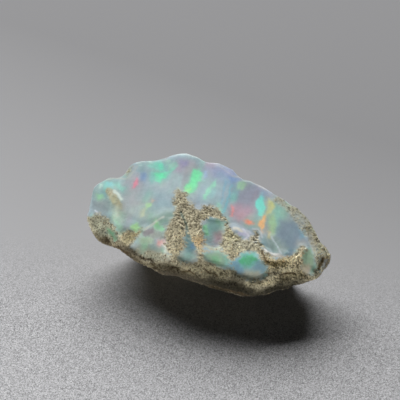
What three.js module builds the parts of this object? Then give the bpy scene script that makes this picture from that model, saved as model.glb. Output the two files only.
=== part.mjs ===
// Rough opal specimen: one stone of translucent precious opal with sandy host rock grown onto it.
// Millimetres, +Z up. The origin is under the middle of the stone, on the surface it rests on,
// +X runs along the stone's longest way and -Y is the broken side that shows the opal best.
import * as THREE from "three";
import { mergeVertices } from "three/addons/utils/BufferGeometryUtils.js";

// Driving dimensions
const LENGTH = 31;
const DEPTH = 14.6;
const HEIGHT = 13.1;
const ROCK_RISE = 0.38; // how far the host rock stands out of the opal that it grew on

// How finely the stone is faceted: 20 * (FACETS + 1) ** 2 triangles
const FACETS = 21;
const EDGE_ROUNDING = 0.2; // radius of the worn edges between two broken faces
const DEG = Math.PI / 180;

// The stone's heart is a short spine along X. Rays from it meet the broken faces and make the surface.
const HEART = new THREE.Vector3(0, 0, 7);
const SPINE = 8;
const SPREAD = new THREE.Vector3(7.5, 7.7, 6.7);
const FAR = 1000;

// A unit vector from its azimuth, turning from +X to +Y, and its elevation above the table, in degrees.
function bearing(azimuth, elevation) {
  const level = Math.cos(elevation * DEG);
  return new THREE.Vector3(
    level * Math.cos(azimuth * DEG),
    level * Math.sin(azimuth * DEG),
    Math.sin(elevation * DEG),
  );
}

function face(azimuth, elevation, x, y, z) {
  return { normal: bearing(azimuth, elevation), point: new THREE.Vector3(x, y, z) };
}

// The broken faces: where each one looks, and a point on it.
const FACE = {
  top: face(-98, 74, -4.9, 7.4, 13.2),
  topRight: face(-50, 72, 8.2, 5.3, 11.0),
  topLeft: face(-128, 65, -11.0, 5.1, 12.4),
  front: face(-88, 40, 0, -5.1, 8.0),
  frontRight: face(-62, 36, 9.5, -3.9, 6.6),
  frontLeft: face(-110, 32, -9.0, -4.2, 7.4),
  underFront: face(-97, -42, 6.1, -2.3, 0.4),
  underLeft: face(-112, -46, -7.8, -3.8, 4.7),
  underRight: face(-54, -48, 13.1, -1.2, 4.4),
  base: face(0, -90, 0, 0, 0),
  back: face(104, -18, -4.9, 7.5, 13.0),
  backMiddle: face(82, -15, 1.0, 6.2, 11.8),
  backRight: face(58, -12, 10.7, 4.5, 8.4),
  backLeft: face(121, -14, -11.0, 5.2, 11.6),
  leftEnd: face(164, 12, -15.7, 2.2, 9.6),
  leftTip: face(196, 10, -15.4, -0.5, 8.0),
  leftLow: face(200, -42, -13.7, -1.0, 5.5),
  rightEnd: face(12, -4, 15.1, -1.0, 6.4),
  rightUp: face(36, 24, 10.6, 5.2, 8.5),
  rightLow: face(-10, -29, 14.1, -0.9, 5.4),
};

// The side that shows the opal is drawn as in a sketch made from the front, looking down at it:
// u runs to the right in the sketch, v runs up, and the stone is measured from the origin.
const SKETCH_AZIMUTH = 17;
const SKETCH_ELEVATION = 40;
const SKETCH_RIGHT = bearing(SKETCH_AZIMUTH, 0);
const TO_VIEWER = bearing(SKETCH_AZIMUTH - 90, SKETCH_ELEVATION);
const SKETCH_UP = new THREE.Vector3().crossVectors(TO_VIEWER, SKETCH_RIGHT);

// The sketch is seen from this far away, looking at this place in it.
const VIEW_DISTANCE = 278;
const AIM_U = -1.25;
const AIM_V = 9.775;
const AIM = sketched(AIM_U, AIM_V);

// Where the sketch shows a point of the stone.
function seen(point) {
  const fromAim = point.clone().sub(AIM);
  const nearer = VIEW_DISTANCE / (VIEW_DISTANCE - fromAim.dot(TO_VIEWER));
  return [AIM_U + fromAim.dot(SKETCH_RIGHT) * nearer, AIM_V + fromAim.dot(SKETCH_UP) * nearer];
}

// The point of the sketch at u and v, raised towards the viewer.
function sketched(u, v, raised = 0) {
  return new THREE.Vector3()
    .addScaledVector(SKETCH_RIGHT, u)
    .addScaledVector(SKETCH_UP, v)
    .addScaledVector(TO_VIEWER, raised);
}

// A shell-like hollow in a broken face: the ball that would scoop it, which reaches this deep at a place.
function scoop(name, place, depth, radius) {
  return { centre: place.clone().addScaledVector(FACE[name].normal, radius - depth), radius };
}

// The same, where the sketch shows it.
function hollow(name, u, v, depth, radius) {
  const { normal, point } = FACE[name];
  const flat = sketched(u, v);
  const raised = point.clone().sub(flat).dot(normal) / TO_VIEWER.dot(normal);
  return scoop(name, sketched(u, v, raised), depth, radius);
}

// A bite out of the crest, which is round and seen edge on.
function bite(u, v, raised, radius) {
  return { centre: sketched(u, v, raised), radius };
}

const UNDERSIDE_RIGHT = new THREE.Vector3(10.2, -2.4, 3.5);
const UNDERSIDE_MIDDLE = new THREE.Vector3(3.9, -3.9, 1.8);
const SCOOPS = [
  bite(-11.75, 14.0, 1.7, 1.55),
  bite(-7.4, 19.6, 1.0, 5),
  bite(-0.1, 15.5, 2.7, 1.2),
  bite(4.6, 13.75, 3.9, 1.6),
  scoop("underRight", UNDERSIDE_RIGHT, 0.4, 8),
  scoop("underFront", UNDERSIDE_MIDDLE, 1, 5),
  hollow("topLeft", -7.5, 9.8, 0.5, 18),
  hollow("top", -0.6, 12.5, 0.35, 12),
  hollow("top", -5.9, 13.0, 0.3, 7),
  hollow("topRight", 5.3, 9.8, 0.3, 8),
  hollow("front", 0.3, 5.8, 0.35, 4),
  hollow("frontLeft", -6.9, 5.0, 0.4, 6),
  hollow("front", 4.6, 1.5, 0.4, 6),
];

// Host rock left on the opal, as outlines drawn in the sketch.
const ROCK = {
  leftRim: [[-15.2, 7.4], [-13.4, 7.6], [-12.6, 7.5], [-12.2, 6.8], [-12.4, 5.9], [-11.6, 4.9], [-10.6, 4.0],
    [-8.4, 2.6], [-6.2, 1.3], [-6.5, 0.8], [-8.8, 1.9], [-11.4, 3.4], [-13.9, 5.3], [-14.9, 6.4]],
  leftPatch: [[-11.1, 5.4], [-10.4, 5.9], [-9.4, 5.9], [-8.6, 6.3], [-8.4, 5.9], [-9.6, 4.3], [-10.5, 4.3]],
  fin: [[-12.5, 11.0], [-12.0, 10.9], [-11.3, 10.2], [-11.0, 9.4], [-11.1, 7.0], [-11.8, 7.0], [-12.5, 9.2]],
  middle: [[-5.0, 7.1], [-4.4, 8.0], [-4.0, 8.8], [-4.2, 9.9], [-4.0, 10.6], [-3.1, 10.4], [-2.6, 9.5],
    [-2.0, 8.8], [-1.4, 8.5], [-0.8, 9.1], [1.1, 8.8], [1.6, 8.1], [2.4, 6.4], [3.0, 6.0], [3.6, 5.3],
    [3.4, 4.6], [3.5, 4.0], [5.8, 4.1], [6.5, 3.8], [7.0, 3.0], [7.6, 2.4], [8.5, 2.0], [9.4, 2.1],
    [10.8, 3.1], [11.6, 4.0], [12.0, 3.6], [11.6, 2.8], [11.4, 0.8], [12.5, 0.3], [14.0, 0.8], [14.0, -0.2],
    [11.2, -0.7], [7.5, -1.4], [3.8, -0.9], [0.0, 0.3], [-3.8, 0.9], [-7.5, 1.5], [-7.2, 2.1], [-5.5, 1.6],
    [-4.9, 2.5], [-5.4, 3.8], [-5.6, 4.8], [-5.5, 6.0]],
  rightSkin: [[7.8, 9.4], [8.8, 9.9], [10.0, 9.5], [11.9, 7.9], [12.8, 6.3], [14.5, 3.3], [15.1, 2.4],
    [14.6, 1.4], [13.6, 0.4], [12.6, 0.4], [13.2, 1.5], [13.2, 2.8], [12.0, 4.8], [10.6, 7.0], [8.9, 8.8]],
};

// Windows in the host rock, where the opal shows in a shallow hollow.
const WINDOWS = {
  triangle: [[-2.9, 6.3], [-2.5, 5.3], [-1.5, 3.4], [-1.4, 2.5], [-1.9, 2.0], [-3.1, 1.9], [-4.2, 3.0],
    [-3.1, 4.1], [-3.0, 5.1]],
  square: [[-1.1, 7.4], [-0.2, 7.6], [1.2, 7.5], [1.9, 6.9], [1.9, 5.5], [1.6, 4.4], [0.9, 3.9], [-0.2, 4.0],
    [-0.6, 4.8], [-0.9, 6.0]],
  green: [[-0.9, 3.3], [0.2, 3.6], [1.5, 3.4], [2.2, 2.9], [3.0, 1.1], [2.0, 1.3], [-0.2, 2.0], [-0.9, 2.5]],
  low: [[2.6, 2.0], [3.5, 2.6], [4.5, 3.3], [5.9, 3.4], [6.2, 2.5], [7.5, 1.4], [7.1, 0.6], [6.4, -0.2],
    [5.0, -0.2], [3.8, 0.3], [2.8, 1.0]],
};

// Ridges and grooves, as strokes drawn in the sketch: half a stroke's width, its height, below nought for
// a groove, and its path.
const RELIEF = [
  { name: "fin", half: 0.5, height: 0.4, path: [[-12.2, 10.8], [-11.5, 9.6], [-11.2, 8.2]] },
  { name: "low rim", half: 0.8, height: 0.15, path: [[-7.8, 1.7], [-0.6, 0.8], [4.4, -0.8], [9.4, 0.1]] },
  { name: "left column", half: 0.8, height: 0.2, path: [[-4.6, 4.4], [-4.2, 6.8], [-3.5, 8.4], [-3.5, 10]] },
  { name: "right column", half: 0.6, height: 0.2, path: [[-2.2, 8.2], [-1.6, 6.5], [-1.0, 4.0]] },
  { name: "shelf", half: 0.6, height: 0.3, path: [[3.8, 3.7], [5.6, 3.8], [6.5, 3.1]] },
  { name: "right knob", half: 0.5, height: 0.2, path: [[11.2, 2.9], [11.7, 3.7]] },
  { name: "lip", half: 0.45, height: 0.5, path: [[6.6, 3.2], [7.8, 2.8], [9.2, 3.0]] },
  { name: "crevice", half: 0.4, height: -0.6, path: [[7.0, 2.3], [8.2, 2.0], [9.5, 2.2]] },
  { name: "hole", half: 0.5, height: -0.7, path: [[14.1, 2.4], [13.6, 1.2]] },
  { name: "slot", half: 0.35, height: -0.6, path: [[11.4, 8.5], [11.8, 8.1]] },
  { name: "crack", half: 0.3, height: -0.4, path: [[-2.9, 6.2], [-3.4, 7.3], [-3.8, 8.4]] },
  { name: "ridge", half: 0.7, height: 0.35, path: [[-8.5, 6.1], [-7.5, 6.9], [-6.5, 7.4], [-5.5, 7.8]] },
  { name: "window break", half: 0.5, height: 0.4, path: [[3.4, 6.1], [4.4, 5.3], [5.4, 4.7]] },
  { name: "step", half: 0.35, height: 0.25, path: [[7.9, 5.0], [8.4, 4.0], [8.9, 3.2]] },
];

// The shallow flutes of the top face run side by side from the crest down to the rock.
const FLUTES = 4;
const FLUTE = { top: -0.2, bottom: -1.2, pitch: 1.15, spread: 1.12, half: 0.45, height: 0.12 };
const FLUTE_START = 13.2;
const FLUTE_END = 8.6;
for (let i = 0; i < FLUTES; i += 1) {
  RELIEF.push({
    name: `flute ${i + 1}`,
    half: FLUTE.half,
    height: FLUTE.height,
    path: [
      [FLUTE.top + i * FLUTE.pitch, FLUTE_START],
      [FLUTE.bottom + i * FLUTE.pitch * FLUTE.spread, FLUTE_END],
    ],
  });
}

// Weathered pits in the host rock
const PITS = 60;
const PIT = { radius: 1.1, depth: 0.4, smallest: 0.6, seed: 11 };
const PIT_COVER = 0.8; // pits lie only where the rock covers more than this share
const PIT_CLEARANCE = 1.5; // and this far above the table

// The rind of host rock on the back and the underside: it reaches up to about this height.
const RIND_HEIGHT = 8;
const RIND_FADE = 3;
const RIND_EDGE = 0.25;
const RIND_WANDER = { share: 0.7, size: 1.5 };

// The soft swells of the whole stone, weaker on the opal, and the finer lumps of the host rock
const SWELLS = { size: 1.6, height: 0.1, onOpal: 0.4 };
const ROCK_LUMPS = { size: 0.8, height: 0.16 };

// Lumps: a sum of bent waves, whose directions and phases have no pattern that shows.
const WAVES = [
  [0.9, 0.3, -0.5, 0.3],
  [-0.4, 1.1, 0.6, 1.7],
  [0.7, -0.8, 0.9, 4.1],
  [-1.2, -0.5, 0.4, 2.6],
  [0.3, 0.6, 1.3, 5.2],
  [1.4, 0.9, 0.2, 0.9],
];
const WAVE_GAIN = 1.6 / WAVES.length;
const WAVE_BEND = { pitch: 0.7, phase: 2, strength: 1.3 };

// From about -1 to 1, changing over about one size.
function lumps(p, size, shift = 0) {
  let sum = 0;
  for (const [a, b, c, phase] of WAVES) {
    const x = (p.x + shift) / size;
    const y = (p.y + shift) / size;
    const z = (p.z + shift) / size;
    const bend = Math.sin(WAVE_BEND.pitch * (c * x + a * y + b * z) + WAVE_BEND.phase * phase);
    sum += Math.sin(a * x + b * y + c * z + phase + WAVE_BEND.strength * bend);
  }
  return sum * WAVE_GAIN;
}

// The same row of numbers from 0 to 1 each time.
const MULTIPLIER = 1664525;
const INCREMENT = 1013904223;
const MODULUS = 2 ** 32;
function seededNumbers(seed) {
  let state = seed;
  return () => {
    state = (state * MULTIPLIER + INCREMENT) % MODULUS;
    return state / MODULUS;
  };
}

// Where a ray from the heart in this direction meets the stone. Near an edge the nearer of two faces
// gives way to the other over EDGE_ROUNDING. Faces that the ray would only graze are passed over.
const GRAZING = 0.02;
function surface(direction) {
  const start = HEART.clone();
  start.x += direction.x * SPINE;
  const ray = direction.clone().multiply(SPREAD).normalize();
  const reach = [];
  for (const { normal, point } of Object.values(FACE)) {
    const closing = ray.dot(normal);
    if (closing > GRAZING) {
      reach.push(point.clone().sub(start).dot(normal) / closing);
    }
  }
  for (const { centre, radius } of SCOOPS) {
    const from = start.clone().sub(centre);
    const along = from.dot(ray);
    const inside = along * along - from.lengthSq() + radius * radius;
    const entry = inside > 0 ? -along - Math.sqrt(inside) : FAR;
    reach.push(entry > 0 ? entry : FAR);
  }
  const nearest = Math.min(...reach);
  let share = 0;
  for (const r of reach) {
    share += Math.exp((nearest - r) / EDGE_ROUNDING);
  }
  return start.addScaledVector(ray, nearest - EDGE_ROUNDING * Math.log(share));
}

// The direction whose ray passes through a point: the opposite of surface().
const HALVINGS = 40;
const LONGEST = 10;
function directionOf(point) {
  const q = point.clone().sub(HEART);
  const direction = new THREE.Vector3();
  let low = 0;
  let high = LONGEST;
  for (let i = 0; i < HALVINGS; i += 1) {
    const s = (low + high) / 2;
    direction.set(q.x / (SPINE + s * SPREAD.x), q.y / (s * SPREAD.y), q.z / (s * SPREAD.z));
    if (direction.lengthSq() > 1) {
      low = s;
    } else {
      high = s;
    }
  }
  return direction.normalize();
}

// Corners and triangles of an even ball, each corner held once.
const SAME_PLACE = 1e-4;
function evenBall() {
  const ball = new THREE.IcosahedronGeometry(1, FACETS);
  ball.deleteAttribute("normal");
  ball.deleteAttribute("uv");
  const merged = mergeVertices(ball, SAME_PLACE);
  const places = merged.getAttribute("position");
  const corners = [];
  for (let i = 0; i < places.count; i += 1) {
    corners.push(new THREE.Vector3().fromBufferAttribute(places, i).normalize());
  }
  return { corners, triangles: Array.from(merged.index.array) };
}

// For each corner, the corners next to it.
function neighbours(count, triangles) {
  const next = Array.from({ length: count }, () => new Set());
  for (let i = 0; i < triangles.length; i += 3) {
    const [a, b, c] = triangles.slice(i, i + 3);
    next[a].add(b).add(c);
    next[b].add(a).add(c);
    next[c].add(a).add(b);
  }
  return next;
}

// Spreads the corners evenly over the stone, so that its sharp edges come out clean.
const SPREADING_ROUNDS = 6;
const SPREADING_SHARE = 0.7;
function spreadOut(directions, next) {
  let spread = directions;
  for (let round = 0; round < SPREADING_ROUNDS; round += 1) {
    const points = spread.map(surface);
    spread = points.map((point, i) => {
      const middle = new THREE.Vector3();
      for (const j of next[i]) {
        middle.add(points[j]);
      }
      middle.divideScalar(next[i].size);
      return directionOf(point.clone().lerp(middle, SPREADING_SHARE));
    });
  }
  return spread.map(surface);
}

function outwardNormals(points, triangles) {
  const normals = points.map(() => new THREE.Vector3());
  for (let i = 0; i < triangles.length; i += 3) {
    const [a, b, c] = triangles.slice(i, i + 3);
    const ab = points[b].clone().sub(points[a]);
    const ac = points[c].clone().sub(points[a]);
    const across = ab.cross(ac);
    normals[a].add(across);
    normals[b].add(across);
    normals[c].add(across);
  }
  return normals.map((n) => n.normalize());
}

// How far a place in the sketch is from a stroke's path.
function distanceTo(path, u, v) {
  let nearest = FAR;
  for (let i = 1; i < path.length; i += 1) {
    const [u0, v0] = path[i - 1];
    const [u1, v1] = path[i];
    const run = (u1 - u0) ** 2 + (v1 - v0) ** 2;
    const t = THREE.MathUtils.clamp(((u - u0) * (u1 - u0) + (v - v0) * (v1 - v0)) / run, 0, 1);
    nearest = Math.min(nearest, Math.hypot(u - u0 - t * (u1 - u0), v - v0 - t * (v1 - v0)));
  }
  return nearest;
}

// 1 inside a stroke and 0 outside, with a soft edge.
function inStroke({ half, path }, u, v, edge) {
  return 1 - THREE.MathUtils.smoothstep(distanceTo(path, u, v), half - edge, half + edge);
}

// 1 inside an outline and 0 outside, with a soft edge.
function inOutline(outline, u, v, edge) {
  let inside = false;
  for (let i = 0; i < outline.length; i += 1) {
    const [u0, v0] = outline.at(i - 1);
    const [u1, v1] = outline[i];
    if (v0 > v !== v1 > v && u < u0 + ((v - v0) * (u1 - u0)) / (v1 - v0)) {
      inside = !inside;
    }
  }
  const gap = distanceTo([outline.at(-1), ...outline], u, v);
  return THREE.MathUtils.smoothstep(inside ? gap : -gap, -edge, edge);
}

const ROCK_EDGE = 0.25;
const RELIEF_EDGE = 0.3;
const EDGE_WANDER = { reach: 0.2, size: 0.8, shift: 3.1 };
const TURNED_TO_VIEWER = 0.2;

// How much host rock covers a point of the surface, from 0 to 1, and how high all relief stands there.
function cover(point, normal) {
  let [u, v] = seen(point);
  u += EDGE_WANDER.reach * lumps(point, EDGE_WANDER.size);
  v += EDGE_WANDER.reach * lumps(point, EDGE_WANDER.size, EDGE_WANDER.shift);
  const facing = THREE.MathUtils.smoothstep(normal.dot(TO_VIEWER), 0, TURNED_TO_VIEWER);
  let drawn = 0;
  for (const outline of Object.values(ROCK)) {
    drawn = Math.max(drawn, inOutline(outline, u, v, ROCK_EDGE));
  }
  for (const outline of Object.values(WINDOWS)) {
    drawn = Math.min(drawn, 1 - inOutline(outline, u, v, ROCK_EDGE));
  }
  const level = (RIND_HEIGHT - point.z) / RIND_FADE + RIND_WANDER.share * lumps(point, RIND_WANDER.size);
  const rind = THREE.MathUtils.smoothstep(level, -RIND_EDGE, RIND_EDGE);
  const rock = THREE.MathUtils.lerp(rind, drawn, facing);
  let height = rock * (ROCK_RISE + ROCK_LUMPS.height * lumps(point, ROCK_LUMPS.size));
  height += SWELLS.height * lumps(point, SWELLS.size) * THREE.MathUtils.lerp(SWELLS.onOpal, 1, rock);
  for (const stroke of RELIEF) {
    height += stroke.height * inStroke(stroke, u, v, RELIEF_EDGE) * facing;
  }
  return { rock, height };
}

// Moves each corner out by the relief, with the pits sunk in the host rock. EVENING is how far a corner
// follows the corners next to it, so that no relief is finer than the facets.
const EVENING = 0.5;
function weather(points, triangles, next) {
  const normals = outwardNormals(points, triangles);
  const covers = points.map((point, i) => cover(point, normals[i]));
  const draw = seededNumbers(PIT.seed);
  const rocky = points.filter((point, i) => covers[i].rock > PIT_COVER && point.z > PIT_CLEARANCE);
  const pits = Array.from({ length: PITS }, () => ({
    centre: rocky[Math.floor(draw() * rocky.length)],
    radius: PIT.radius * (PIT.smallest + (1 - PIT.smallest) * draw()),
  }));
  const heights = points.map((point, i) => {
    let height = covers[i].height;
    for (const { centre, radius } of pits) {
      height -= PIT.depth * (1 - THREE.MathUtils.smoothstep(point.distanceTo(centre), 0, radius));
    }
    return height;
  });
  return points.map((point, i) => {
    const around = Array.from(next[i], (j) => heights[j]).reduce((sum, height) => sum + height, 0);
    const evened = THREE.MathUtils.lerp(heights[i], around / next[i].size, EVENING);
    return point.clone().addScaledVector(normals[i], evened);
  });
}

// Gives the stone its measured length, depth and height, standing on z = 0, with a flat place to rest on.
function fitToSize(points) {
  for (const point of points) {
    point.z = Math.max(point.z, 0);
  }
  const box = new THREE.Box3().setFromPoints(points);
  const middle = box.getCenter(new THREE.Vector3()).setZ(box.min.z);
  const scale = new THREE.Vector3(LENGTH, DEPTH, HEIGHT).divide(box.getSize(new THREE.Vector3()));
  for (const point of points) {
    point.sub(middle).multiply(scale);
  }
}

function stoneGeometry() {
  const { corners, triangles } = evenBall();
  const next = neighbours(corners.length, triangles);
  const points = weather(spreadOut(corners, next), triangles, next);
  fitToSize(points);
  const geometry = new THREE.BufferGeometry().setFromPoints(points);
  geometry.setIndex(triangles);
  geometry.computeVertexNormals();
  return geometry;
}

const opal = new THREE.MeshStandardMaterial({ color: 0xa3b0b4, roughness: 0.3, metalness: 0 });
const stone = new THREE.Mesh(stoneGeometry(), opal);
stone.name = "opal_specimen";

const specimen = new THREE.Group();
specimen.add(stone);

export default specimen;
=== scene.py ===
"""A rough precious opal: translucent stone with play of colour, and sandy host rock grown onto it."""

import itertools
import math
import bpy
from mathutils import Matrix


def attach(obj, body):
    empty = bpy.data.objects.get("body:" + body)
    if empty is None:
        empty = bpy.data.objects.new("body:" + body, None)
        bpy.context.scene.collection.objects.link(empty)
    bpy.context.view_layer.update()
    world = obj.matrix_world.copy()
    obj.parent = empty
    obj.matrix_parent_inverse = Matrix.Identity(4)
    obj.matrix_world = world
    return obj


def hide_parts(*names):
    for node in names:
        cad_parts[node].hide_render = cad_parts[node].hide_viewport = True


bl_info = {
    "name": "Rough Opal Specimen",
    "version": (1, 0, 0),
    "blender": (4, 5, 0),
    "location": "3D Viewport > Sidebar > Rough Opal",
    "description": "Dresses the packed stone with opal, host rock, sand grains and a plain stage",
    "category": "Object",
}

import bmesh
import bpy
import numpy as np
from bpy.props import FloatProperty, FloatVectorProperty, IntProperty, PointerProperty
from mathutils import Vector
from mathutils.kdtree import KDTree

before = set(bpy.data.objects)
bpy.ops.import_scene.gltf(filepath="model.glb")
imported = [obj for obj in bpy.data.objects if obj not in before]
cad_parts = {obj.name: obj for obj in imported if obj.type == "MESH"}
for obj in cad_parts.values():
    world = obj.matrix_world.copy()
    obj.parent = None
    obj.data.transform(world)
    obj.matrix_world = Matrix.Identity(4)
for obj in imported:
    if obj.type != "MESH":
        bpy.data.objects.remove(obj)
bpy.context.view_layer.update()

NODE = "opal_specimen"
BODY = "root"
MM = 0.001

# The stone is painted as in a sketch of it, made from the front and looking down. u runs to the right
# in the sketch and v up, in millimetres.
SKETCH_AZIMUTH = math.radians(17)
SKETCH_ELEVATION = math.radians(40)
VIEW_DISTANCE = 278.0
LENS = 200.0
SENSOR = 36.0


def sketch_axes():
    """The sketch's unit vectors: to the right, up, and out of it towards the viewer."""
    ahead = np.array([-math.sin(SKETCH_AZIMUTH), math.cos(SKETCH_AZIMUTH), 0.0])
    level = np.array([math.cos(SKETCH_AZIMUTH), math.sin(SKETCH_AZIMUTH), 0.0])
    upright = np.array([0.0, 0.0, 1.0])
    up = ahead * math.sin(SKETCH_ELEVATION) + upright * math.cos(SKETCH_ELEVATION)
    out = upright * math.sin(SKETCH_ELEVATION) - ahead * math.cos(SKETCH_ELEVATION)
    return level, up, out


RIGHT, UP, OUT = sketch_axes()
SKETCH_ORIGIN = np.array([0.42, -0.15, 0.0])  # where the sketch's u and v are nought, on the surface below
SKETCH_SCALE = np.array([1.0, 1.019, 1.0])  # how far the measured stone is stretched from the sketched one
AIM_U = -1.25
AIM_V = 9.775
AIM = RIGHT * AIM_U + UP * AIM_V  # the middle of the picture

# Host rock left on the opal, as outlines in the sketch
ROCK = {
    "left rim": [(-15.6, 7.8), (-14.6, 8.0), (-13.4, 7.8), (-12.5, 7.3), (-11.9, 6.4), (-11.5, 5.4),
                 (-10.9, 5.6), (-10.5, 6.0), (-9.4, 5.9), (-8.5, 6.2), (-8.9, 5.5), (-9.6, 4.5), (-10.2, 3.9),
                 (-9.3, 3.6), (-8.5, 3.1), (-7.5, 2.6), (-6.2, 2.1), (-6.2, -1.5), (-9.5, 0.0), (-12.5, 2.5),
                 (-15.2, 5.5)],
    "middle": [(-5.0, 7.1), (-4.4, 8.0), (-4.2, 8.8), (-4.6, 9.8), (-4.4, 10.8), (-3.6, 11.0), (-2.9, 10.7),
               (-2.6, 9.6), (-2.0, 8.9), (-1.4, 8.5), (-0.8, 9.1), (0.2, 9.0), (1.1, 8.8), (1.6, 8.1),
               (2.1, 7.1), (2.4, 6.4), (3.0, 6.0), (3.6, 5.3), (4.1, 4.9), (5.0, 4.8), (5.9, 4.7), (6.6, 4.1),
               (7.0, 3.1), (7.6, 2.75), (8.5, 2.55), (9.2, 2.6), (10.0, 2.9), (10.8, 3.3), (11.2, 3.7),
               (11.6, 4.0), (12.0, 3.6), (11.6, 2.8), (11.6, 1.8), (11.4, 0.8), (12.5, 0.3), (14.0, 0.8),
               (15.5, 0.8), (14.5, -1.5), (8.0, -4.5), (-2.0, -4.0), (-7.5, -1.5), (-7.5, 1.5), (-7.2, 2.5),
               (-5.5, 2.3), (-4.9, 2.9), (-5.4, 3.8), (-5.6, 4.8), (-5.5, 6.0)],
    "broken edge": [(5.0, 4.6), (5.0, 5.3), (5.7, 5.7), (6.3, 5.3), (6.4, 4.5)],
}
# Windows in the host rock, where the opal shows
WINDOWS = {
    "triangle": [(-2.9, 6.3), (-2.5, 5.3), (-2.0, 4.4), (-1.5, 3.4), (-1.4, 2.5), (-1.9, 2.0), (-3.1, 1.9),
                 (-4.0, 2.3), (-4.2, 3.0), (-3.6, 3.6), (-3.1, 4.1), (-3.0, 5.1)],
    "square": [(-1.1, 7.4), (-0.2, 7.6), (1.2, 7.5), (1.9, 6.9), (1.9, 5.5), (1.6, 4.4), (0.9, 3.9),
               (-0.2, 4.0), (-0.6, 4.8), (-0.9, 6.0)],
    "green": [(-0.9, 3.3), (0.2, 3.6), (1.5, 3.4), (2.2, 2.9), (2.6, 2.0), (3.0, 1.1), (2.0, 1.3), (0.9, 1.6),
              (-0.2, 2.0), (-0.9, 2.5)],
    "low": [(2.6, 2.0), (3.5, 2.6), (4.5, 3.3), (5.9, 3.4), (6.2, 2.5), (6.8, 1.8), (7.5, 1.4), (7.1, 0.6),
            (6.4, -0.2), (5.0, -0.2), (3.8, 0.3), (2.8, 1.0)],
    "milk": [(-0.8, 4.5), (0.2, 4.1), (1.3, 4.2), (1.6, 3.6), (0.4, 3.3), (-0.7, 3.6)],
    "left rim": [(-12.9, 6.2), (-12.4, 6.3), (-11.9, 5.6), (-11.6, 5.0), (-11.9, 4.8), (-12.6, 5.4)],
}
# A thin skin of host rock, which the opal shows through in places
SKIN = {
    "right": [(7.8, 9.5), (8.8, 10.5), (10.4, 10.4), (12.4, 9.0), (13.8, 7.0), (15.2, 4.6), (16.2, 3.0),
              (16.4, 1.0), (14.6, -0.2), (12.6, 0.4), (13.2, 1.5), (13.2, 2.8),
              (12.6, 3.8), (12.0, 4.8), (11.4, 5.9), (10.6, 7.0), (9.8, 8.0), (8.9, 8.8)],
    "fin": [(-13.0, 10.6), (-12.8, 11.2), (-12.3, 11.1), (-12.1, 10.2), (-12.3, 9.8)],
    "left window foot": [(-8.8, 3.0), (-7.6, 3.7), (-6.4, 3.3), (-5.3, 3.2), (-5.0, 2.2), (-6.6, 1.8),
                         (-8.6, 2.2)],
    "over the crest": [(-11.4, 12.9), (-10.5, 12.8), (-9.6, 13.4), (-9.6, 14.0), (-10.8, 13.6)],
}
# Tones of the host rock: u, v, half the length, half the width, tilt in degrees, colour and strength. The
# dark ones at (-12.6, 3.9), (-9.9, 2.9), (-9.0, 1.7), (-6.3, 1.4), (-4.4, 0.9), (-3.4, 0.0), (2.4, -1.0),
# (4.0, -2.6) and (8.8, -1.3) are painted shade along the lower edge and the underside. The pale one at (9.3,
# 2.0) is painted light on the sand that the lip shades.
ROCK_TONES_SHADE_AND_LIGHT = [
    (-13.5, 6.4, 1.8, 1.1, -50, (0.56, 0.57, 0.50), 0.85),
    # painted shade along the lower left edge
    (-12.6, 3.9, 2.4, 0.75, -40, (0.26, 0.23, 0.17), 0.95),
    (-9.9, 2.9, 2.6, 0.8, -30, (0.36, 0.33, 0.27), 0.85),
    (-7.0, 3.0, 1.8, 0.7, -8, (0.66, 0.65, 0.57), 0.85),
    # painted shade along the lower edge
    (-9.0, 1.7, 2.4, 0.5, -30, (0.22, 0.20, 0.15), 0.9),
    (-6.3, 1.4, 2.2, 0.5, -10, (0.40, 0.38, 0.30), 0.8),
    (-4.4, 0.9, 2.8, 0.6, -12, (0.27, 0.25, 0.19), 0.9),
    (-9.6, 5.2, 1.2, 0.8, 10, (0.53, 0.50, 0.38), 0.8),
    (0.3, 0.9, 2.8, 0.9, -12, (0.47, 0.45, 0.36), 0.8),
    (-0.4, 4.4, 0.9, 0.9, 0, (0.75, 0.68, 0.55), 0.8),
    (-1.9, 4.6, 0.5, 1.8, -70, (0.78, 0.68, 0.52), 0.7),
    (2.8, 5.4, 1.0, 1.4, 0, (0.72, 0.70, 0.57), 0.8),
    (4.6, 4.3, 2.2, 0.7, 0, (0.76, 0.75, 0.66), 0.85),
    # painted light on the sand in the lip's shadow
    (9.3, 2.0, 2.8, 1.1, 5, (0.98, 0.93, 0.77), 0.95),
    (5.7, 5.2, 0.9, 0.5, 0, (0.78, 0.76, 0.68), 0.9),
    (10.3, 0.3, 2.0, 0.5, 12, (0.46, 0.43, 0.33), 0.7),
    (7.0, -0.5, 2.4, 0.5, 5, (0.58, 0.55, 0.45), 0.6),
    (11.0, 8.6, 3.6, 1.4, -45, (0.63, 0.62, 0.54), 0.95),
    (13.9, 4.4, 3.0, 1.2, -60, (0.59, 0.57, 0.47), 0.9),
    (14.2, 2.0, 0.8, 0.9, 0, (0.36, 0.31, 0.20), 0.7),
    # painted shade along the lower edge and the underside
    (-3.4, 0.0, 4.4, 0.75, -11, (0.23, 0.21, 0.17), 0.95),
    (2.4, -1.0, 3.6, 1.0, -16, (0.13, 0.12, 0.09), 0.95),
    (4.0, -2.6, 5.5, 1.0, -10, (0.13, 0.12, 0.09), 1.0),
    (8.8, -1.3, 3.2, 0.7, 16, (0.14, 0.13, 0.10), 0.95),
]

# Colours of the opal's play, as they look in soft light, red, green and blue from 0 to 1
GREEN = (0.45, 0.93, 0.66)
LEAF = (0.58, 0.88, 0.52)
TEAL = (0.45, 0.80, 0.75)
CYAN = (0.38, 0.88, 0.84)
BLUE = (0.46, 0.60, 0.80)
SKY = (0.60, 0.75, 0.86)
LAVENDER = (0.60, 0.64, 0.77)
PINK = (0.94, 0.52, 0.58)
ROSE = (0.74, 0.60, 0.66)
ORANGE = (0.98, 0.64, 0.30)
CREAM = (0.80, 0.80, 0.66)

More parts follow.
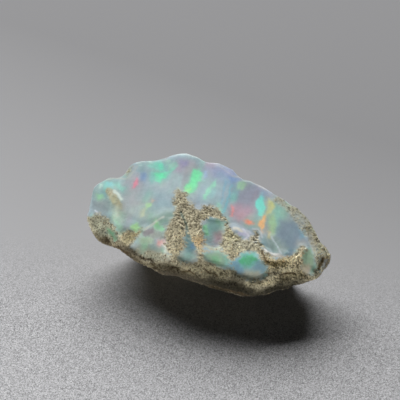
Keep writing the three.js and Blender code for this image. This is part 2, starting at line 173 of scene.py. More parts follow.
# Broad soft washes under the flashes: u, v, half the length, half the width, tilt in degrees, colour,
# strength
WASHES = [
    (-7.0, 11.0, 5.5, 3.0, 15, (0.63, 0.70, 0.72), 0.9),
    (-11.3, 8.4, 0.8, 1.6, 20, (0.62, 0.66, 0.60), 0.7),
    (-12.5, 10.5, 2.2, 3.2, 30, (0.56, 0.67, 0.65), 0.8),
    (-6.5, 8.8, 2.6, 1.8, 0, (0.58, 0.69, 0.72), 0.8),
    (-6.3, 7.7, 2.2, 0.9, 0, (0.52, 0.62, 0.57), 0.9),
    (-9.6, 9.6, 1.2, 1.9, 10, (0.67, 0.72, 0.71), 0.8),
    (-9.6, 11.9, 1.4, 0.8, 0, (0.66, 0.68, 0.71), 0.7),
    (-2.2, 14.4, 3.5, 1.1, -8, (0.65, 0.65, 0.68), 0.95),
    (1.9, 12.9, 2.3, 1.0, -15, LAVENDER, 0.9),
    (1.2, 10.2, 2.6, 1.6, -20, (0.62, 0.72, 0.74), 0.8),
    (4.8, 10.3, 2.0, 2.2, -20, (0.60, 0.61, 0.67), 0.9),
    (3.9, 8.3, 1.5, 0.9, -15, ROSE, 0.7),
    (9.4, 5.9, 2.4, 2.0, -35, (0.52, 0.60, 0.64), 0.95),
    (8.3, 7.6, 1.0, 1.7, -10, (0.56, 0.73, 0.68), 0.8),
    (8.3, 4.1, 1.4, 1.0, -30, (0.55, 0.61, 0.59), 0.8),
    (-7.6, 3.1, 2.9, 1.1, -20, (0.60, 0.62, 0.54), 0.95),
    (-7.0, 5.1, 2.0, 1.5, 0, (0.60, 0.63, 0.59), 0.85),
    (-2.6, 2.8, 1.6, 0.9, 0, (0.60, 0.66, 0.62), 0.9),
    (-2.3, 5.0, 0.7, 1.8, -8, (0.40, 0.56, 0.57), 0.95),
    (0.4, 5.7, 1.2, 1.5, -10, (0.54, 0.63, 0.62), 0.9),
    (1.0, 5.3, 0.7, 1.0, 0, ROSE, 0.6),
    (1.0, 2.3, 1.8, 0.9, -20, (0.60, 0.70, 0.62), 0.8),
    (4.8, 1.6, 2.3, 1.5, 0, (0.55, 0.67, 0.67), 0.95),
    (5.2, 0.5, 1.6, 0.5, 0, (0.66, 0.68, 0.62), 0.7),
    (12.0, 2.3, 1.0, 1.6, 20, (0.76, 0.86, 0.74), 0.9),
    (11.8, 1.3, 0.8, 0.6, 0, (0.72, 0.65, 0.56), 0.7),
    (10.6, 9.2, 2.6, 0.9, -35, (0.61, 0.62, 0.56), 0.85),
    (13.4, 5.6, 3.0, 0.9, -60, (0.60, 0.61, 0.55), 0.85),
]

# The flashes of colour: colour, softness of the edge in millimetres, strength, and outline
FLASHES = [
    # the left end
    ((0.53, 0.84, 0.80), 0.22, 0.9, [(-13.3, 11.8), (-12.8, 12.0), (-12.1, 12.0), (-11.9, 11.6),
     (-12.3, 11.3), (-12.7, 10.7), (-13.2, 11.0)]),
    ((0.50, 0.78, 0.84), 0.2, 0.70, [(-12.8, 11.9), (-12.2, 11.9), (-12.1, 11.6), (-12.6, 11.5)]),
    ((0.60, 0.85, 0.79), 0.25, 0.85, [(-12.1, 11.8), (-11.2, 11.9), (-10.7, 11.4), (-11.0, 10.9),
     (-11.7, 11.2)]),
    ((0.75, 0.89, 0.84), 0.15, 0.8, [(-13.9, 11.9), (-13.5, 11.9), (-13.5, 11.5), (-13.8, 11.4)]),
    ((0.56, 0.80, 0.61), 0.25, 0.9, [(-14.2, 10.5), (-13.7, 10.6), (-13.3, 10.2), (-13.7, 9.6),
     (-14.1, 9.7)]),
    ((0.44, 0.63, 0.67), 0.3, 0.70, [(-13.7, 10.8), (-12.8, 11.0), (-12.6, 10.4), (-13.2, 10.1)]),
    ((0.55, 0.59, 0.60), 0.4, 0.80, [(-14.7, 9.4), (-12.8, 9.8), (-12.5, 8.6), (-13.5, 7.7),
     (-14.6, 8.1)]),
    ((0.57, 0.70, 0.60), 0.35, 0.8, [(-12.2, 7.7), (-11.7, 7.9), (-11.2, 7.2), (-10.9, 6.1),
     (-11.4, 5.7), (-11.9, 6.9)]),
    ((0.46, 0.60, 0.46), 0.3, 0.90, [(-13.1, 6.4), (-12.5, 6.7), (-11.8, 5.8), (-11.4, 5.0),
     (-11.9, 4.5), (-12.5, 5.1)]),
    ((0.42, 0.60, 0.48), 0.2, 0.70, [(-12.8, 6.1), (-12.3, 6.3), (-11.9, 5.6), (-12.2, 5.2)]),
    ((0.66, 0.74, 0.54), 0.25, 0.8, [(-11.2, 5.6), (-10.6, 5.8), (-10.4, 5.0), (-11.1, 4.4)]),
    ((0.66, 0.65, 0.54), 0.16, 1.0, [(-13.0, 10.8), (-12.7, 11.3), (-12.2, 11.2), (-11.5, 10.3), (-11.0, 9.3),
     (-11.0, 8.7), (-11.6, 8.6), (-12.2, 9.4), (-12.6, 10.0)]),
    ((0.68, 0.72, 0.65), 0.3, 0.8, [(-12.3, 9.2), (-11.2, 9.0), (-11.2, 7.6), (-11.8, 7.5)]),
    # the crest, left of the middle
    ((0.90, 0.57, 0.64), 0.13, 0.95, [(-9.2, 12.7), (-8.9, 12.1), (-9.0, 11.6), (-9.4, 11.2),
     (-9.7, 11.2), (-9.6, 11.7), (-9.5, 12.1)]),
    ((0.48, 0.60, 0.76), 0.25, 0.85, [(-8.8, 13.2), (-8.1, 13.3), (-7.8, 12.6), (-8.1, 12.0),
     (-8.6, 12.1)]),
    ((0.53, 0.65, 0.66), 0.3, 0.80, [(-9.1, 14.5), (-8.4, 14.5), (-8.2, 13.7), (-8.6, 13.0),
     (-9.1, 13.1)]),
    ((0.54, 0.81, 0.75), 0.2, 0.95, [(-8.0, 14.2), (-7.1, 14.4), (-6.3, 14.7), (-5.8, 14.3),
     (-5.8, 13.6), (-6.3, 13.3), (-7.1, 13.6), (-7.6, 13.8)]),
    ((0.48, 0.88, 0.75), 0.2, 0.90, [(-6.6, 14.2), (-6.0, 14.3), (-5.9, 13.8), (-6.4, 13.5)]),
    ((0.50, 0.8, 0.75), 0.3, 0.85, [(-7.5, 13.0), (-6.9, 13.3), (-6.7, 12.6), (-7.2, 11.9),
     (-7.4, 12.3)]),
    ((0.49, 0.86, 0.72), 0.14, 0.95, [(-6.9, 12.9), (-6.4, 13.2), (-5.5, 13.3), (-5.0, 13.6),
     (-4.3, 14.2), (-4.1, 14.0), (-4.5, 13.5), (-5.1, 13.1), (-5.6, 12.6), (-6.2, 11.9), (-6.7, 12.1)]),
    ((0.40, 0.93, 0.70), 0.2, 0.90, [(-6.6, 12.8), (-5.9, 13.0), (-5.8, 12.6), (-6.2, 12.2)]),
    ((0.60, 0.80, 0.72), 0.2, 0.80, [(-5.3, 14.2), (-4.5, 14.3), (-4.3, 14.1), (-5.1, 13.5)]),
    ((0.71, 0.63, 0.71), 0.3, 0.70, [(-4.4, 13.8), (-3.7, 14.1), (-3.8, 13.4), (-4.4, 13.2)]),
    ((0.57, 0.56, 0.71), 0.3, 0.85, [(-3.8, 14.7), (-2.9, 14.8), (-2.8, 14.2), (-3.6, 13.8)]),
    ((0.74, 0.90, 0.84), 0.1, 0.8, [(-7.9, 14.5), (-7.4, 14.6), (-7.4, 14.35)]),
    ((0.72, 0.88, 0.80), 0.1, 0.8, [(-5.6, 14.7), (-5.1, 14.85), (-5.1, 14.5)]),
    ((0.70, 0.84, 0.80), 0.1, 0.7, [(-9.1, 14.2), (-8.7, 14.2), (-8.8, 13.9)]),
    # the big green bar and the stripes beside it
    ((0.50, 0.92, 0.69), 0.17, 1.0, [(-2.1, 13.6), (-1.2, 13.6), (-0.8, 12.9), (-1.0, 12.1),
     (-1.5, 11.9), (-1.7, 11.4), (-2.2, 10.6), (-2.8, 10.5), (-3.3, 10.8), (-3.1, 11.4), (-2.7, 11.8),
     (-2.4, 12.4), (-2.3, 13.0)]),
    ((0.62, 0.94, 0.64), 0.2, 0.90, [(-3.1, 11.3), (-2.5, 11.5), (-2.4, 10.8), (-2.9, 10.6),
     (-3.2, 10.8)]),
    ((0.67, 0.79, 0.78), 0.3, 0.70, [(-4.0, 12.7), (-3.6, 12.6), (-3.7, 11.3), (-4.0, 11.0)]),
    ((0.67, 0.83, 0.80), 0.12, 0.8, [(-0.8, 13.0), (-0.5, 13.0), (-0.7, 12.0), (-0.9, 12.1)]),
    ((0.65, 0.73, 0.87), 0.15, 0.85, [(-0.7, 13.2), (-0.4, 13.4), (-0.3, 12.8), (-0.6, 12.4)]),
    ((0.59, 0.87, 0.75), 0.13, 0.95, [(0.3, 12.0), (0.8, 12.2), (0.7, 11.6), (0.2, 11.2), (-0.2, 10.6),
     (-0.5, 9.9), (-0.9, 9.8), (-0.9, 10.5), (-0.5, 11.0), (-0.0, 11.5)]),
    ((0.51, 0.75, 0.79), 0.12, 0.9, [(2.7, 11.7), (2.9, 11.6), (2.5, 10.4), (2.1, 8.9), (1.7, 8.0),
     (1.4, 8.1), (1.9, 9.1), (2.3, 10.4)]),
    ((0.54, 0.72, 0.80), 0.14, 0.85, [(1.9, 12.1), (2.2, 12.0), (1.7, 10.5), (1.5, 9.2), (1.2, 9.3),
     (1.5, 10.6)]),
    ((0.63, 0.76, 0.80), 0.12, 0.6, [(1.1, 10.9), (1.3, 10.8), (1.1, 9.6), (0.9, 9.7)]),
    ((0.59, 0.83, 0.74), 0.2, 0.85, [(0.7, 9.3), (1.1, 9.5), (1.6, 8.4), (1.4, 7.9), (1.0, 8.4)]),
    ((0.52, 0.63, 0.80), 0.25, 0.8, [(2.3, 12.6), (3.5, 12.5), (3.5, 12.1), (2.6, 11.9)]),
    ((0.63, 0.78, 0.65), 0.2, 0.90, [(3.4, 11.9), (4.2, 12.1), (4.6, 11.7), (4.0, 10.9), (3.4, 11.2)]),
    ((0.65, 0.73, 0.63), 0.2, 0.80, [(3.7, 12.9), (4.7, 12.4), (5.3, 12.2), (4.7, 12.1), (4.0, 12.3)]),
    # the warm flashes right of the middle
    ((0.90, 0.61, 0.61), 0.11, 0.9, [(2.7, 9.2), (3.0, 9.0), (3.0, 8.4), (2.8, 7.7), (2.6, 7.7),
     (2.7, 8.4)]),
    ((0.77, 0.63, 0.66), 0.3, 0.70, [(3.4, 8.1), (4.0, 8.4), (4.2, 7.7), (3.5, 7.3)]),
    ((0.88, 0.63, 0.55), 0.18, 0.95, [(4.2, 7.3), (4.7, 7.5), (5.3, 7.2), (5.5, 6.8), (4.9, 6.6),
     (4.4, 6.8)]),
    ((0.95, 0.58, 0.45), 0.14, 0.8, [(4.7, 7.2), (5.1, 7.2), (5.2, 6.9), (4.8, 6.8)]),
    ((0.49, 0.88, 0.82), 0.13, 1.0, [(6.4, 10.4), (6.7, 10.0), (6.9, 9.1), (6.8, 8.3), (6.5, 7.6),
     (6.1, 7.8), (5.9, 8.6), (5.7, 9.3), (6.0, 9.8)]),
    ((0.56, 0.70, 0.76), 0.15, 0.9, [(6.3, 10.8), (6.6, 10.7), (6.7, 10.0), (6.4, 10.2)]),
    ((0.56, 0.65, 0.76), 0.25, 0.8, [(6.6, 11.1), (7.4, 10.9), (7.7, 10.3), (6.9, 10.3)]),
    ((0.80, 0.79, 0.56), 0.14, 0.95, [(7.3, 9.8), (7.8, 9.7), (8.0, 8.9), (7.7, 8.3), (7.2, 7.8),
     (6.9, 7.9), (7.1, 8.6), (7.3, 9.2)]),
    ((0.79, 0.82, 0.56), 0.15, 0.85, [(7.4, 9.7), (7.8, 9.6), (7.9, 9.1), (7.5, 9.0)]),
    ((0.93, 0.73, 0.50), 0.13, 1.0, [(6.8, 7.8), (7.1, 7.7), (6.9, 6.9), (6.6, 6.3), (6.3, 6.2),
     (6.0, 6.6), (6.2, 7.1), (6.5, 7.4)]),
    ((0.91, 0.78, 0.67), 0.15, 0.8, [(6.2, 6.3), (6.5, 6.3), (6.7, 5.9), (6.4, 5.7)]),
    ((0.65, 0.78, 0.59), 0.3, 0.85, [(7.4, 7.7), (8.0, 8.1), (8.3, 6.9), (8.1, 5.5), (7.7, 5.3),
     (7.4, 6.5)]),
    ((0.80, 0.75, 0.55), 0.15, 0.8, [(7.2, 6.0), (7.5, 5.9), (7.5, 5.0), (7.3, 5.1)]),
    ((0.57, 0.77, 0.70), 0.3, 0.85, [(8.2, 8.7), (8.8, 8.6), (9.0, 7.4), (8.5, 6.7), (8.1, 7.7)]),
    ((0.76, 0.75, 0.78), 0.15, 0.7, [(3.2, 6.2), (4.3, 6.1), (5.2, 5.6), (4.7, 5.0), (4.0, 5.4)]),
    # the slate face on the right
    ((0.50, 0.57, 0.62), 0.4, 0.95, [(8.8, 7.5), (9.5, 7.0), (10.4, 7.0), (11.0, 6.1), (11.3, 5.4),
     (11.0, 4.7), (10.2, 3.9), (9.5, 4.1), (8.9, 4.7), (8.6, 5.9)]),
    ((0.53, 0.71, 0.78), 0.25, 0.85, [(11.3, 6.0), (12.0, 5.9), (12.0, 5.1), (11.4, 5.0)]),
    ((0.62, 0.64, 0.61), 0.25, 0.6, [(10.7, 4.7), (11.8, 4.9), (12.1, 4.2), (10.8, 3.9)]),
    ((0.59, 0.67, 0.65), 0.25, 0.85, [(7.7, 5.0), (8.3, 4.5), (8.7, 3.4), (7.9, 3.1), (7.4, 3.9)]),
    # over and in the left window
    ((0.88, 0.73, 0.63), 0.14, 0.9, [(-7.4, 9.9), (-7.0, 9.7), (-7.2, 9.3), (-7.5, 9.4)]),
    ((0.66, 0.86, 0.60), 0.16, 0.9, [(-8.0, 9.3), (-7.5, 9.4), (-7.4, 9.0), (-7.8, 8.6), (-8.1, 8.9)]),
    ((0.80, 0.82, 0.66), 0.18, 0.85, [(-8.4, 8.7), (-8.0, 8.8), (-8.2, 7.8), (-8.7, 7.7), (-8.6, 8.1)]),
    ((0.70, 0.78, 0.73), 0.12, 0.6, [(-8.9, 9.3), (-8.7, 9.3), (-8.7, 8.4), (-8.9, 8.4)]),
    ((0.60, 0.70, 0.72), 0.4, 0.60, [(-7.1, 9.4), (-5.8, 9.4), (-5.8, 8.1), (-7.2, 7.8)]),
    ((0.62, 0.79, 0.55), 0.2, 0.85, [(-9.8, 6.4), (-9.2, 6.9), (-8.8, 6.7), (-8.5, 6.2), (-9.1, 5.8),
     (-9.7, 5.9)]),
    ((0.66, 0.84, 0.62), 0.2, 0.9, [(-7.0, 7.2), (-6.7, 7.6), (-6.4, 7.2), (-6.6, 6.6), (-7.0, 6.7)]),
    ((0.64, 0.86, 0.70), 0.16, 0.95, [(-7.2, 6.4), (-6.7, 6.7), (-6.1, 6.6), (-5.7, 6.2), (-5.9, 5.9),
     (-6.4, 6.1), (-6.9, 6.1)]),
    ((0.50, 0.48, 0.50), 0.2, 0.85, [(-8.4, 5.8), (-7.2, 6.5), (-7.0, 6.0), (-7.3, 5.5), (-8.2, 5.2)]),
    ((0.82, 0.92, 0.80), 0.22, 0.95, [(-8.7, 4.9), (-8.2, 5.1), (-7.2, 5.0), (-7.1, 4.5), (-7.6, 4.2),
     (-8.4, 4.3)]),
    ((0.71, 0.73, 0.78), 0.2, 0.70, [(-6.9, 5.0), (-6.3, 5.0), (-6.4, 4.5), (-6.9, 4.6)]),
    ((0.90, 0.72, 0.70), 0.2, 0.95, [(-6.5, 4.8), (-5.8, 4.9), (-5.6, 4.4), (-6.1, 4.1), (-6.5, 3.9),
     (-6.7, 4.3)]),
    ((0.94, 0.95, 0.88), 0.12, 1.0, [(-5.8, 4.1), (-5.0, 4.0), (-4.9, 3.4), (-5.6, 3.3)]),
    # the small windows
    ((0.43, 0.54, 0.54), 0.2, 0.95, [(-3.0, 6.0), (-2.5, 5.8), (-2.1, 4.8), (-1.7, 4.1), (-1.7, 3.6),
     (-2.7, 3.5), (-3.2, 3.8), (-3.1, 4.8)]),
    ((0.38, 0.52, 0.66), 0.2, 0.60, [(-2.5, 4.4), (-1.9, 4.4), (-1.8, 3.8), (-2.4, 3.7)]),
    ((0.60, 0.62, 0.58), 0.25, 0.7, [(-4.3, 3.3), (-3.3, 3.5), (-3.2, 2.7), (-4.1, 2.4)]),
    ((0.56, 0.84, 0.62), 0.14, 0.9, [(-0.7, 6.7), (-0.3, 6.7), (-0.2, 5.5), (-0.6, 5.4)]),
    ((0.58, 0.76, 0.64), 0.25, 0.8, [(-0.9, 6.7), (-0.3, 6.8), (-0.2, 5.5), (-0.8, 5.5)]),
    ((0.46, 0.60, 0.58), 0.25, 0.85, [(-0.2, 7.4), (1.2, 7.4), (1.1, 5.7), (0.2, 5.3), (-0.2, 6.1)]),
    ((0.50, 0.66, 0.56), 0.18, 0.8, [(0.8, 7.3), (1.3, 7.2), (1.3, 6.6), (0.9, 6.7)]),
    ((0.60, 0.52, 0.53), 0.3, 0.80, [(0.5, 5.7), (1.6, 5.9), (1.6, 4.8), (0.7, 4.5)]),
    ((0.60, 0.70, 0.61), 0.3, 0.85, [(-0.6, 3.1), (1.4, 3.2), (2.0, 1.7), (1.1, 1.6), (-0.1, 2.3)]),
    ((0.52, 0.72, 0.57), 0.2, 0.85, [(0.3, 2.7), (1.1, 2.8), (1.2, 1.9), (0.4, 1.9)]),
    ((0.51, 0.64, 0.71), 0.25, 0.95, [(2.6, 1.9), (3.7, 2.5), (4.2, 1.9), (4.2, 0.7), (3.2, 0.6)]),
    ((0.53, 0.65, 0.70), 0.25, 0.95, [(5.7, 2.5), (6.4, 2.3), (6.9, 1.0), (6.3, 0.6), (5.6, 1.4)]),
    ((0.50, 0.72, 0.70), 0.2, 0.9, [(3.9, 3.1), (5.6, 3.3), (5.9, 2.2), (5.3, 1.4), (4.0, 1.5)]),
    ((0.46, 0.84, 0.64), 0.14, 0.95, [(3.7, 2.2), (4.2, 2.6), (4.5, 2.3), (4.3, 1.8), (3.9, 1.8)]),
    ((0.50, 0.86, 0.66), 0.14, 0.95, [(4.4, 2.1), (4.6, 2.8), (5.2, 2.9), (5.5, 2.3), (5.1, 1.8),
     (4.7, 1.6)]),
    ((0.44, 0.80, 0.58), 0.12, 0.8, [(5.4, 2.6), (5.9, 2.5), (5.8, 2.1), (5.4, 2.2)]),
    ((0.66, 0.67, 0.61), 0.25, 0.85, [(4.2, 0.6), (5.9, 0.8), (6.7, 0.6), (6.3, -0.3), (4.7, -0.3)]),
    ((0.77, 0.55, 0.47), 0.18, 0.9, [(2.8, 0.2), (3.5, 0.3), (3.5, -0.1), (2.9, -0.1)]),
    ((0.76, 0.88, 0.75), 0.25, 0.9, [(11.5, 3.2), (12.6, 3.6), (13.0, 2.6), (12.8, 1.7), (11.7, 1.8)]),
    ((0.80, 0.77, 0.67), 0.25, 0.8, [(11.2, 1.7), (12.2, 1.7), (12.3, 0.6), (11.4, 0.6)]),
]

SILK_TILT = math.radians(68)  # which way the streaks in the opal run, up from the sketch's right

# How washes and tones fade out at their edges, from 0 to 1, and how the flashes blend into the opal: the
# factor of their edges' softness, and the shares of the core and the wide halo
WASH_FIRMNESS = 0.3
FLASH_SOFTNESS = 1.15
FLASH_CORE = 0.82
FLASH_HALO = 0.18
HALO_REACH = 0.9  # millimetres past the outline
HALO_INNER = 0.3  # millimetres inside it, where the halo is full
# Streaks that run down through the flashes: their width and length in millimetres, and how far they change
# the flashes' strength
STREAK_WIDTH = 0.24
STREAK_LENGTH = 1.5
STREAK_DEPTH = 0.18

# Faint pastel patches between the flashes, each colour with its strength
PASTELS = ((GREEN, 0.2), (PINK, 0.1), (CYAN, 0.16), (LAVENDER, 0.1), (CREAM, 0.18), (BLUE, 0.1))
PASTEL_SIZE = 1.3
PASTEL_STRETCH = np.array([1.0, 0.55, 1.0])

# The sides that the sketch doesn't show: about how high the host rock reaches on them, in millimetres,
# and the flashes in the opal above it
RIND_HEIGHT = 7.2
BACK_FLASHES = 62
BACK_FLASH_SIZE = (0.5, 1.5)  # half the length, in millimetres
BACK_FLASH_STRENGTH = (0.4, 0.85)
BACK_COLOURS = (GREEN, LEAF, TEAL, CYAN, BLUE, SKY, LAVENDER, PINK, ORANGE, GREEN, TEAL, BLUE)

# Painted highlights on thin broken edges that catch the light, and small milky lumps: half the width in
# millimetres, colour and path
HIGHLIGHTS_AND_MILKY_LUMPS = [
    (0.06, (0.72, 0.74, 0.70), [(-13.0, 12.3), (-11.8, 12.5), (-10.4, 12.4), (-9.7, 13.1), (-9.1, 13.9)]),
    (0.06, (0.74, 0.79, 0.77), [(-9.2, 14.3), (-7.9, 14.7), (-6.5, 14.8), (-5.2, 15.2), (-4.0, 15.4),
                                (-2.6, 15.4), (-1.4, 14.9)]),
    (0.05, (0.70, 0.71, 0.74), [(-1.2, 14.8), (-0.4, 14.7), (0.6, 14.4), (1.5, 13.7), (2.6, 12.9)]),
    (0.06, (0.74, 0.74, 0.72), [(2.8, 12.7), (3.8, 12.5), (4.8, 12.2), (5.6, 11.8), (6.6, 11.2),
                                (7.8, 10.2)]),
    (0.16, (0.80, 0.85, 0.81), [(-12.0, 10.9), (-11.5, 10.5), (-11.1, 9.9)]),
    (0.04, (0.94, 0.94, 0.97), [(-14.4, 8.5), (-13.8, 8.0)]),
    (0.22, (0.90, 0.90, 0.88), [(6.8, 3.5), (7.3, 3.15), (7.9, 2.9), (8.7, 2.85)]),
    (0.14, (0.68, 0.67, 0.64), [(8.9, 2.8), (9.4, 2.5)]),
    (0.07, (0.76, 0.80, 0.82), [(7.7, 5.2), (8.3, 4.2), (8.9, 3.1)]),
    (0.06, (0.66, 0.72, 0.72), [(6.9, 5.6), (7.3, 4.6), (7.6, 3.4)]),
    (0.16, (0.82, 0.81, 0.76), [(3.0, 6.3), (3.5, 6.2), (4.0, 5.9)]),
    (0.1, (0.80, 0.80, 0.84), [(4.1, 6.2), (4.5, 5.7), (4.9, 5.3), (4.4, 4.9)]),
    (0.2, (0.70, 0.70, 0.77), [(4.4, 5.5), (3.7, 5.6)]),
    (0.1, (0.76, 0.79, 0.80), [(5.4, 6.2), (6.0, 6.1), (6.4, 5.7), (6.5, 5.1)]),
    (0.1, (0.80, 0.82, 0.78), [(-8.2, 6.1), (-7.4, 6.6), (-6.6, 7.2), (-5.8, 7.7)]),
    (0.2, (0.76, 0.80, 0.74), [(-0.6, 4.2), (0.1, 3.8), (0.7, 3.7), (1.3, 3.9)]),
    (0.14, (0.72, 0.76, 0.69), [(-4.0, 11.2), (-3.7, 10.8)]),
    (0.12, (0.80, 0.84, 0.76), [(-4.2, 9.5), (-4.3, 8.8)]),
]
# Cracks and slots, painted dark for the shade in them, and lines of painted shade along the lower edge and
# right of the low window: half the width in millimetres, colour and path
CRACKS_AND_SHADE_LINES = [
    (0.13, (0.44, 0.49, 0.45), [(-3.7, 8.3), (-3.2, 7.3), (-2.8, 6.1)]),
    (0.2, (0.30, 0.26, 0.18), [(14.2, 2.4), (13.6, 1.2)]),
    (0.14, (0.24, 0.23, 0.20), [(11.4, 8.45), (11.8, 8.1)]),
    (0.14, (0.20, 0.17, 0.12), [(-13.0, 5.1), (-12.7, 4.6)]),
    (0.1, (0.24, 0.21, 0.15), [(-7.4, 1.9), (-6.9, 1.6), (-6.6, 1.2)]),
    (0.1, (0.20, 0.17, 0.12), [(-5.0, 1.3), (-4.3, 1.5), (-3.8, 1.2)]),
    (0.12, (0.24, 0.20, 0.14), [(0.0, -0.9), (2.0, -1.4), (4.0, -1.9), (5.6, -2.5)]),
    (0.13, (0.26, 0.22, 0.16), [(-11.5, 4.0), (-10.8, 3.5), (-10.2, 3.1)]),
    (0.1, (0.28, 0.24, 0.18), [(-8.7, 2.8), (-7.9, 2.4), (-7.5, 2.5), (-6.9, 1.9)]),
    (0.12, (0.20, 0.17, 0.12), [(-7.1, 1.3), (-6.4, 0.9), (-5.9, 0.4)]),
    (0.1, (0.26, 0.22, 0.15), [(-3.4, 0.9), (-2.6, 0.9), (-2.0, 0.6)]),
    (0.1, (0.24, 0.20, 0.14), [(-0.6, 1.3), (-0.1, 0.8), (0.6, 0.7), (1.0, 0.3)]),
    (0.1, (0.30, 0.25, 0.18), [(6.5, 3.4), (6.8, 2.6), (7.4, 2.0)]),
    (0.1, (0.26, 0.22, 0.15), [(8.8, 0.4), (9.8, 0.7), (10.6, 0.6)]),
]
EDGE_SOFTNESS = 0.12  # of the edges and cracks, in millimetres
CRACK_DEPTH = 0.08

# The light that the sketch's colours were seen in: a window high up behind the stone and a weak soft
# light low in front of it. Each has its share of the light, and a spread that it reaches round a slope.
WINDOW_AZIMUTH = 121
WINDOW_ELEVATION = 41
WINDOW_SHARE = 2.22
WINDOW_SPREAD = 0.34
FRONT_AZIMUTH = -108
FRONT_ELEVATION = 3
FRONT_SHARE = 0.45
FRONT_SPREAD = 0.15
FILL_SHARE = 0.05
LEAST_LIGHT = 0.4
AWAY_LIGHT = 1.3  # on the sides that the sketch doesn't show
BRIGHTEST = 0.92

# How far outlines and paths of the sketch wander on the stone: the size and reach of each layer of noise,
# in millimetres
ROCK_WANDER = ((0.9, 0.25), (0.35, 0.18), (0.17, 0.1))
TONE_WANDER = ((0.9, 0.3),)
FLASH_WANDER = ((0.9, 0.16), (0.4, 0.12), (0.2, 0.08))
EDGE_WANDER = ((0.5, 0.06), (0.2, 0.03))
CRACK_WANDER = ((0.5, 0.08), (0.2, 0.04))

# How the host rock thins out at its border: from bare to covered, and how far the border crumbles
ROCK_BORDER = (-0.3, 0.25)
CRUMBLE = 0.2
SKIN_COVER = 0.66  # how much of the opal the thin skin hides
RIND_BORDER = (-0.08, 0.08)
FACING_BORDER = (-0.02, 0.1)  # from the sides that the sketch doesn't show to the one that it shows

# Fine relief of the host rock, in millimetres
ROCK_ROUGHNESS = ((0.8, 0.06), (0.38, 0.03), (0.24, 0.03))  # size and height of each layer
RIND_LUMP = 1.9
RIND_ROUGHNESS = 0.16
PIT_RADIUS = 0.18
PIT_DEPTH = 0.12
LOWEST_PIT = 0.3  # above the floor, so that the rest face stays whole
DEEPEST = 0.3  # from the highest to the lowest of the relief

# The host rock's own colours on the side of the sketch and on the other sides, and the painted shade in its
# pits
ROCK_TAN = (0.68, 0.655, 0.56)
ROCK_RIND = (0.67, 0.63, 0.53)
ROCK_SHADE = (0.15, 0.125, 0.08)
# How mottled the rock and how silky the opal is: places in the noise, each with its factor of light
MOTTLE = ((0.37, (0.24, 0.21, 0.18)), (0.45, (0.88, 0.87, 0.85)),
          (0.57, (1.06, 1.05, 1.04)), (0.66, (1.45, 1.43, 1.38)))
SILK = ((0.34, (0.96, 0.97, 0.98)), (0.5, (1.0, 1.0, 1.0)),
        (0.62, (1.02, 1.03, 1.03)), (0.7, (1.05, 1.04, 1.03)))
SILK_STRETCH = 6.0  # how much longer the silk's streaks are than wide

EVENING_STEPS = (0.5, -0.52)  # drawn together, then pushed apart again, so that the stone keeps its size

# How the grains differ from the rock's own tone: each kind's factor of light and its share of them
GRAIN_KINDS = (
    ((1.3, 1.28, 1.23), 0.26),
    ((1.0, 1.0, 1.0), 0.34),
    ((0.75, 0.73, 0.69), 0.2),
    ((0.33, 0.29, 0.25), 0.13),
    ((1.05, 0.86, 0.74), 0.07),
)
RIND_GRAIN_SIZE = 1.4  # how much wider the grains are on the sides that the sketch doesn't show
GRAIN_SPREAD = 0.35  # how much the grains' sizes differ
GRAIN_SINK = (-0.4, 0.05)  # how far a grain's middle is out of the rock, as a share of its width
GRAIN_STRETCH = (0.6, 1.25)
GRAIN_KNOBS = 0.16

# The stage, in metres and degrees
FLOOR_SIZE = 1.2
# the way that the floor's painted light grows paler towards
FLOOR_PALER_TOWARDS = -101
FLOOR_COARSER_TOWARDS = -80
WINDOW_SIZE = (1.25, 0.6)  # width and height
WINDOW_DISTANCE = 1.1
FRONT_SIZE = (0.3, 0.04)
FRONT_DISTANCE = 0.3
LIT_POINT = (0, 0, 0.006)  # what both lights are aimed at


class OPAL_PG_stone(bpy.types.PropertyGroup):
    """The opal and the host rock that is one with it."""

    subdivisions: IntProperty(
        name="Subdivisions",
        description="How often the packed solid's facets are divided",
        default=2,
        min=0,
        max=2,
    )
    pits: IntProperty(
        name="Pits",
        description="Number of fine pits weathered into the host rock",
        default=3600,
        min=0,
    )
    milkiness: FloatProperty(
        name="Milkiness",
        description="How far light spreads inside the opal",
        default=0.0007,
        subtype="DISTANCE",
    )
    clearness: FloatProperty(
        name="Clearness",
        description="Share of the light that passes through the opal",
        default=0.1,
        subtype="FACTOR",
    )
    ground: FloatVectorProperty(
        name="Ground colour",
        description="Colour of the opal between its flashes",
        default=(0.60, 0.66, 0.69),
        subtype="COLOR",
    )


class OPAL_PG_grains(bpy.types.PropertyGroup):
    """The loose-looking sand grains that stand out of the host rock."""

    front: IntProperty(
        name="Front grains",
        description="Number of grains on the side that shows the opal",
        default=9500,
        min=0,
    )
    rind: IntProperty(
        name="Rind grains",
        description="Number of grains on the back and the underside",
        default=9500,
        min=0,
    )
    size: FloatProperty(
        name="Grain size",
        description="Width of a middling grain",
        default=0.00011,
        subtype="DISTANCE",
    )


class OPAL_PG_stage(bpy.types.PropertyGroup):
    """The plain floor, the soft light and the camera."""

    floor: FloatVectorProperty(
        name="Floor colour",
        description="Colour of the plain floor",
        default=(0.238, 0.238, 0.243),
        subtype="COLOR",
    )
    key: FloatProperty(
        name="Window light",
        description="Power of the large light above and behind the stone",
        default=35.5,
        subtype="POWER",
    )
    low: FloatProperty(
        name="Low light",
        description="Power of the soft light low in front of the stone",
        default=0.56,
        subtype="POWER",
    )
    fill: FloatProperty(
        name="Surroundings",
        description="Strength of the even light all round",
        default=0.003,
    )


def settings():
    """The three groups of settings, which main() puts on the scene."""
    scene = bpy.context.scene
    return scene.opal_stone, scene.opal_grains, scene.opal_stage


def smooth_step(low, high, value):
    """0 below low, 1 above high and smooth between them. High may be the smaller one."""
    t = np.clip((value - low) / (high - low), 0, 1)
    return t * t * (3 - 2 * t)


